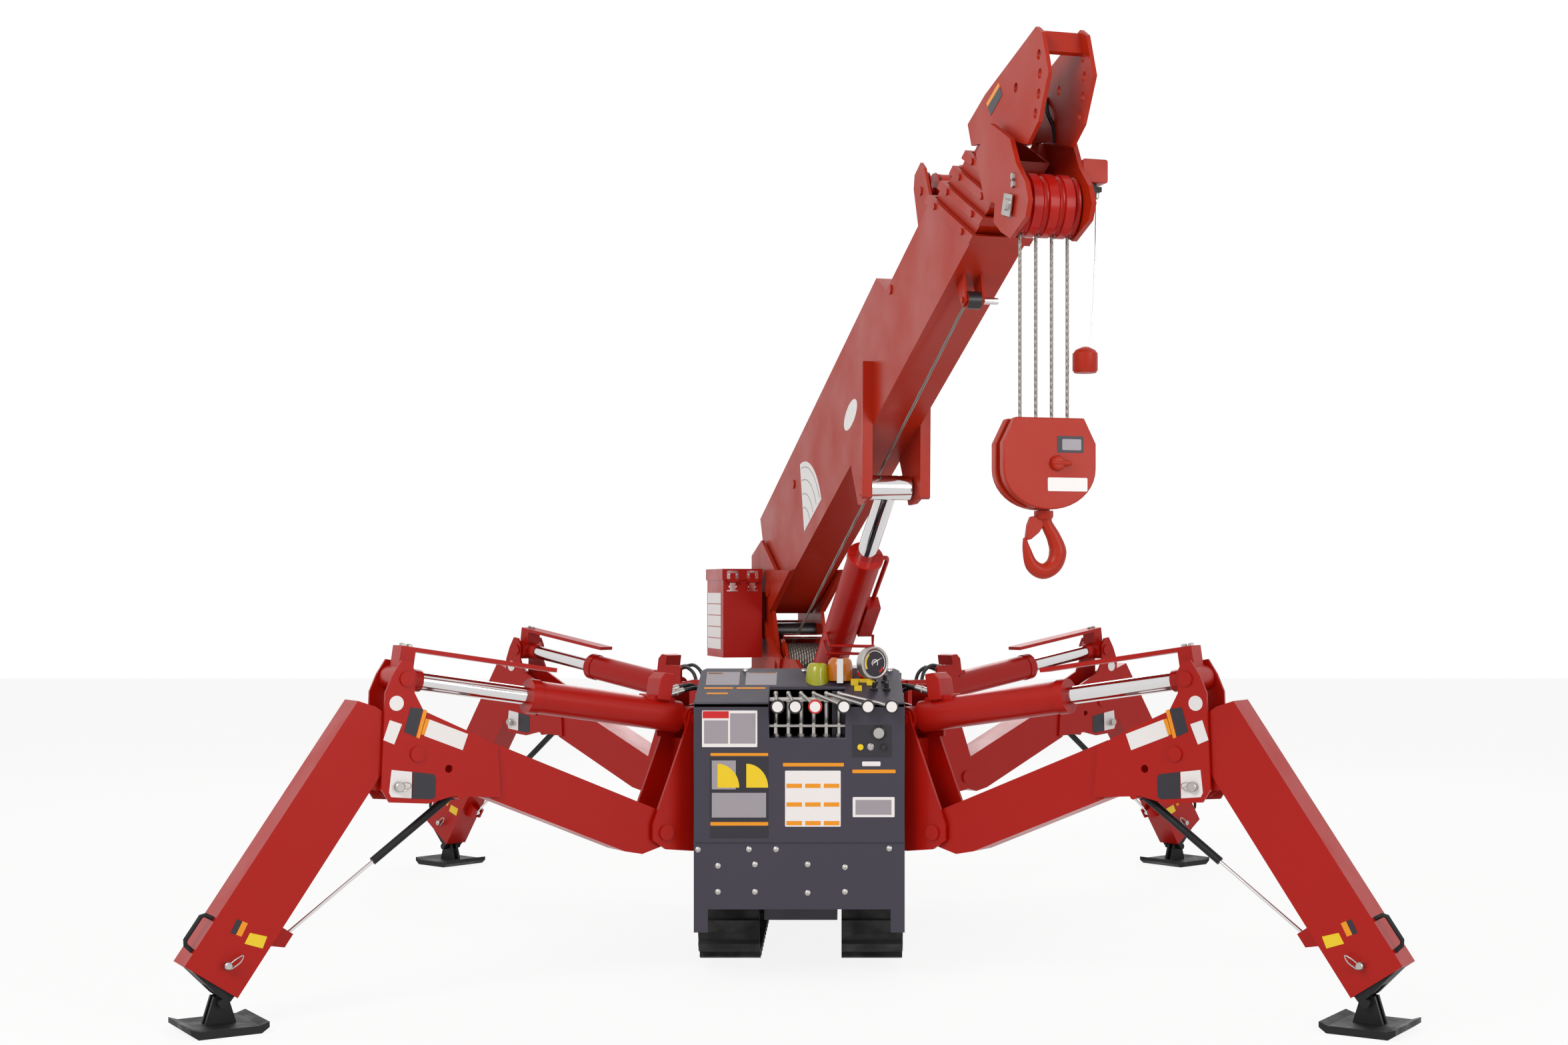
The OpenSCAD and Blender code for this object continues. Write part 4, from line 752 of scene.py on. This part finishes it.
# Valve box beside the lift barrel with its pipe, and the bent rod in front of the barrel
mesh = bmesh.new()
addSlab(mesh, "xz", [(365, -34), (505, -34), (505, 14), (480, 34), (365, 34)], 46, 92, liftPlace)
finishPiece(mesh, "lift_valve", "lift_barrel", finish["sprayed_red_enamel"], 3.0)
mesh = bmesh.new()
addSweep(mesh, smoothPath([(500, 74, 6), (540, 76, 10), (640, 78, 12), (686, 76, 10), (700, 62, 4),
                           (700, 44, 0)], 6), 7, liftPlace)
addSweep(mesh, [(330, -54, -20), (330, -54, -70), (330, 96, -74), (372, 96, -30)], 5, liftPlace, 10)
addSweep(mesh, [(370, -52, -20), (370, -54, -72), (370, 92, -76)], 5, liftPlace, 10)
finishPiece(mesh, "lift_pipe", "lift_barrel", finish["sprayed_red_enamel"])
mesh = bmesh.new()
addTurned(mesh, [(0, 0), (33, 0), (56, 2), (56, 16), (52, 18), (0, 18)],
          aim(liftPlace, (696, 0, 0), (1, 0, 0)), 40)
finishPiece(mesh, "lift_gland", "lift_barrel", finish["sprayed_red_enamel"])
print("column dressed")


# Boom: blank chart and oval plate on its left side, at a along it and b above its pivot
boomSide = -72.5
chart = {"at": (420, 6), "radius": 225, "low": 0, "high": 78}
mesh = bmesh.new()
ca, cb = chart["at"]
sector = [(ca, cb)] + oval(ca, cb, chart["radius"], chart["radius"], 18, chart["low"], chart["high"])
addSlab(mesh, "xz", sector, boomSide - film, boomSide, boomPlace)
finishPiece(mesh, "boom_chart", "boom", finish["white_vinyl"])
mesh = bmesh.new()
for part in (0.35, 0.55, 0.75, 0.93):
    r = chart["radius"] * part
    line = oval(ca, cb, r, r, 16, 4, 74) + oval(ca, cb, r - 3, r - 3, 16, 4, 74)[::-1]
    addSlab(mesh, "xz", line, boomSide - 1.4, boomSide - 0.7, boomPlace)
finishPiece(mesh, "boom_chart_lines", "boom", finish["grey_vinyl"])
mesh = bmesh.new()
addSlab(mesh, "xz", oval(1038, 84, 74, 34, 36), boomSide - film, boomSide, boomPlace)
finishPiece(mesh, "boom_oval", "boom", finish["white_vinyl"])

# Guide housing's four red discs and the roller under the boom
mesh = bmesh.new()
for t in (-44, -22, 22, 44):
    addTurned(mesh, [(0, 0), (50, 0), (52, 3), (46, 6), (0, 6)],
              aim(boomPlace, (1842, t - 3, 318), (0, 1, 0)), 36)
finishPiece(mesh, "guide_discs", "boom", finish["sprayed_red_enamel"])
underRoller = {"a": 1975, "b": -112, "sleeveR": 23, "shaftR": 9}
mesh = bmesh.new()
addDisc(mesh, (underRoller["a"], -38.8, underRoller["b"]), (0, 1, 0), underRoller["sleeveR"], 37.6, boomPlace,
        36, 1.5)
finishPiece(mesh, "under_roller_sleeve", "boom", finish["moulded_black_nylon"])
mesh = bmesh.new()
addDisc(mesh, (underRoller["a"], -36, underRoller["b"]), (0, 1, 0), underRoller["shaftR"], 84, boomPlace, 24, 1)
finishPiece(mesh, "under_roller_shaft", "boom", finish["hard_chromed_rod"])

# Winch rope from the drum, above the lift rod's eye and over the roller, drawn as a straight bar
rope = {"from": (-94, -20, 944), "to": (1972, -20, -86), "radius": 4, "bend": 0.2, "steps": 24}
low = slewPlace @ (Vector(rope["from"]) * mm)
high = boomPlace @ (Vector(rope["to"]) * mm)
mesh = bmesh.new()
path = [low.lerp(high, i / rope["steps"]) / mm for i in range(rope["steps"] + 1)]
addSweep(mesh, path, rope["radius"], groundPlace, 10)
winchRope = finishPiece(mesh, "winch_rope", None, finish["twisted_wire_rope"])
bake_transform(winchRope)
print("boom dressed")


# Head: label, pin lock, limit switch with cable and weight
jibSide = -60
mesh = bmesh.new()
addSlab(mesh, "xz", [(2361, 211), (2452, 203), (2454, 190), (2364, 198)], jibSide - film, jibSide, boomPlace)
finishPiece(mesh, "jib_label_orange", "head", finish["orange_vinyl"])
mesh = bmesh.new()
addSlab(mesh, "xz", [(2364, 197), (2454, 189), (2460, 160), (2374, 164)], jibSide - film, jibSide, boomPlace)
finishPiece(mesh, "jib_label_dark", "head", finish["dark_vinyl"])
mesh = bmesh.new()
for t0, t1 in ((-93, -90), (90, 93)):
    addSlab(mesh, "xz", [(2402, -148), (2440, -114), (2484, -150), (2446, -186)], t0, t1, boomPlace)
addTurned(mesh, [(0, 0), (15, 0), (13, 7), (0, 8)], aim(boomPlace, (2444, -92, -149), (0, -1, 0)), 24)
for a, b in ((2494, -104), (2488, -122)):
    addTurned(mesh, [(0, 0), (10, 0), (9, 6), (0, 7)], aim(boomPlace, (a, -85, b), (0, -1, 0)), 6)
finishPiece(mesh, "head_pin_lock", "head", finish["zinc_plated_steel"])
mesh = bmesh.new()
addSlab(mesh, "yz", roundBox(86, 2092, 150, 2148, 6), 2122, 2184, slewPlace)
finishPiece(mesh, "limit_switch_cover", "head", finish["warm_lit_red_enamel"], 2.0)
mesh = bmesh.new()
addBox(mesh, (2134, 96, 2056), (2172, 126, 2093), slewPlace)
addBox(mesh, (2140, 126, 2074), (2166, 142, 2086), slewPlace)
finishPiece(mesh, "limit_switch", "head", finish["blackened_steel"], 1.0)
mesh = bmesh.new()
addTurned(mesh, [(0, 2058), (2.5, 2058), (7, 2062), (7, 2074), (0, 2074)],
          slewPlace @ shift(blockU, 134, 0), 14)
addSweep(mesh, [(blockU, 134, 2062), (blockU, 133, 1950), (blockU, 128, 1820), (blockU, 120, 1716),
                (blockU, 116, 1704)], 2, slewPlace, 8)
finishPiece(mesh, "limit_cable", "ropes", finish["zinc_plated_steel"])
mesh = bmesh.new()
addTurned(mesh, [(0, 1644), (26, 1644), (30, 1650), (30, 1690), (24, 1698), (8, 1706), (0, 1706)],
          slewPlace @ shift(blockU, 106, 0), 32)
finishPiece(mesh, "limit_weight", "ropes", finish["warm_lit_red_enamel"])
mesh = bmesh.new()
addSweep(mesh, smoothPath([(2470, 48, 150), (2478, 40, 100), (2478, 48, 60), (2470, 49, 20)], 5), 5,
         boomPlace)
finishPiece(mesh, "head_pipe", "head", finish["blackened_steel"])
print("head dressed")


# Hook block: two cheeks with the sheave between them; t across and z up
block = {"half": 116.5, "top": 1532, "shoulder": 1472, "roundZ": 1412, "drop": 96, "cheek": (14, 42),
         "sheaveR": 88, "sheaveZ": 1432, "knobZ": 1425}
blockFace = blockU + block["cheek"][1]
mesh = bmesh.new()
blockHalf, roundZ = block["half"], block["roundZ"]
cheek = ([(-86.5, block["top"]), (86.5, block["top"]), (blockHalf, block["shoulder"]), (blockHalf, roundZ)]
         + oval(0, roundZ, blockHalf, block["drop"], 20, 0, -180)[1:-1]
         + [(-blockHalf, roundZ), (-blockHalf, block["shoulder"])])
for side in (-1, 1):
    inner, outer = (side * value for value in block["cheek"])
    addSlab(mesh, "yz", cheek, blockU + min(inner, outer), blockU + max(inner, outer), slewPlace)
addSlab(mesh, "yz", box2(-80, 1524, 80, 1531.5), blockU - 41, blockU + 41, slewPlace)
addSlab(mesh, "yz", box2(-40, 1320, 40, 1350), blockU - 15, blockU + 15, slewPlace)
addTurned(mesh, [(0, 0), (18, 0), (18, 8), (14, 12), (0, 12)],
          aim(slewPlace, (blockFace, 18, block["knobZ"]), (1, 0, 0)))
addTurned(mesh, [(0, -24), (6, -24), (6, 24), (0, 24)],
          aim(slewPlace, (blockU + 50, 26, block["knobZ"]), (0, 1, 0)), 12)
blockShell = finishPiece(mesh, "hook_block_shell", "block", finish["warm_lit_red_enamel"], 3.0)
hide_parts("hook_block")
mesh = bmesh.new()
rimR = block["sheaveR"]
addTurned(mesh, [(0, -11), (80, -11), (rimR, -10), (81, 0), (rimR, 10), (80, 11), (0, 11)],
          aim(slewPlace, (blockU, 0, block["sheaveZ"]), (1, 0, 0)), 48)
finishPiece(mesh, "block_sheave", "block", finish["sprayed_red_enamel"])
blockPlates = {"white_vinyl": (-6, 1359, 94, 1391), "grey_vinyl": (30, 1456, 78, 1482),
               "dark_vinyl": (18, 1450, 84, 1489)}
for name, (t0, z0, t1, z1) in blockPlates.items():
    lift = 1.4 if name == "grey_vinyl" else film
    mesh = bmesh.new()
    addSlab(mesh, "yz", roundBox(t0, z0, t1, z1, 3), blockFace, blockFace + lift, slewPlace)
    finishPiece(mesh, "block_plate_" + name, "block", finish[name])

# Hook: a forged bow that thins towards its tip, with a spring latch
bow = [(0, 1338), (0, 1312), (8, 1283), (26, 1250), (36, 1216), (25, 1185), (-3, 1171), (-30, 1186),
       (-43, 1222), (-48, 1250)]
bowRadius = [15, 15, 14, 17, 21, 20, 19, 16, 10, 4]
perSpan = 6
path = smoothPath([(blockU, t, z) for t, z in bow], perSpan)
radii = [bowRadius[i // perSpan] * (1 - i % perSpan / perSpan)
         + bowRadius[i // perSpan + 1] * (i % perSpan / perSpan) for i in range(len(path) - 1)] + bowRadius[-1:]
mesh = bmesh.new()
addSweep(mesh, path, radii, slewPlace, 20)
addTurned(mesh, [(0, 1294), (20, 1294), (23, 1300), (23, 1314), (0, 1314)],
          slewPlace @ shift(blockU, 0, 0), 6)
hookBow = finishPiece(mesh, "hook_bow", "hook", finish["warm_lit_red_enamel"], smoothAngle=60)
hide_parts("hook")
mesh = bmesh.new()
addSlab(mesh, "yz", [(-34, 1300), (4, 1304), (6, 1290), (-14, 1262), (-34, 1246), (-47, 1244), (-42, 1280)],
        blockU - 8, blockU + 8, slewPlace)
finishPiece(mesh, "hook_latch", "hook", finish["warm_lit_red_enamel"], 2.0)
print("hook dressed")


# Stage: pale floor, soft lamps and a white background for what the camera and reflections see
def addSeen(tree):
    path = addNode(tree, "ShaderNodeLightPath", {})
    both = addNode(tree, "ShaderNodeMath", {"operation": "ADD", "use_clamp": True})
    tree.links.new(path.outputs["Is Camera Ray"], both.inputs[0])
    tree.links.new(path.outputs["Is Glossy Ray"], both.inputs[1])
    every = addNode(tree, "ShaderNodeMath", {"operation": "ADD", "use_clamp": True})
    tree.links.new(both.outputs[0], every.inputs[0])
    tree.links.new(path.outputs["Is Transmission Ray"], every.inputs[1])
    return every.outputs[0]


def addMix(tree, factor, first, second, output):
    mix = addNode(tree, "ShaderNodeMixShader", {})
    tree.links.new(factor, mix.inputs[0])
    tree.links.new(first, mix.inputs[1])
    tree.links.new(second, mix.inputs[2])
    addNode(tree, output, {}, [("Surface", mix.outputs[0])])


stage = {"floorSize": 40, "floorShare": 0.88, "ambient": 0.55}
world = bpy.data.worlds.new("studio")
bpy.context.scene.world = world
world.use_nodes = True
tree = world.node_tree
tree.nodes.clear()
ambient = addNode(tree, "ShaderNodeBackground", {"Color": (1, 1, 1, 1), "Strength": stage["ambient"]})
white = addNode(tree, "ShaderNodeBackground", {"Color": (1, 1, 1, 1), "Strength": 1.0})
addMix(tree, addSeen(tree), ambient.outputs[0], white.outputs[0], "ShaderNodeOutputWorld")

floorMaterial = bpy.data.materials.new("pale_floor")
floorMaterial.use_nodes = True
tree = floorMaterial.node_tree
tree.nodes.clear()
matt = addNode(tree, "ShaderNodeBsdfDiffuse", {"Color": hexToLinear("#F2F1EF")})
glow = addNode(tree, "ShaderNodeEmission", {"Color": (1, 1, 1, 1), "Strength": 1.0})
share = addNode(tree, "ShaderNodeMath", {"operation": "MULTIPLY"})
tree.links.new(addSeen(tree), share.inputs[0])
share.inputs[1].default_value = stage["floorShare"]
addMix(tree, share.outputs[0], matt.outputs[0], glow.outputs[0], "ShaderNodeOutputMaterial")
mesh = bmesh.new()
reach = stage["floorSize"] / 2
mesh.faces.new([mesh.verts.new((x, y, 0)) for x, y in ((-reach, -reach), (reach, -reach), (reach, reach),
                                                     (-reach, reach))])
floorData = bpy.data.meshes.new("floor")
mesh.to_mesh(floorData)
mesh.free()
floorData.materials.append(floorMaterial)
floor = bpy.data.objects.new("floor", floorData)
bpy.context.scene.collection.objects.link(floor)

lamps = {"key": {"at": (-3.0, -6.0, 4.6), "power": 190, "size": 2.6},
         "fill": {"at": (4.2, -5.4, 2.6), "power": 90, "size": 2.6},
         "back": {"at": (0.5, 5.5, 4.2), "power": 110, "size": 3.0}}
lampTarget = Vector((0, 0, 0.9))
for name, settings in lamps.items():
    lampData = bpy.data.lights.new(name, "AREA")
    lampData.energy = settings["power"]
    lampData.size = settings["size"]
    lamp = bpy.data.objects.new(name, lampData)
    lamp.location = settings["at"]
    lamp.rotation_euler = (lampTarget - Vector(settings["at"])).to_track_quat("-Z", "Y").to_euler()
    bpy.context.scene.collection.objects.link(lamp)
bpy.context.scene.view_settings.view_transform = "Standard"
print("stage set")
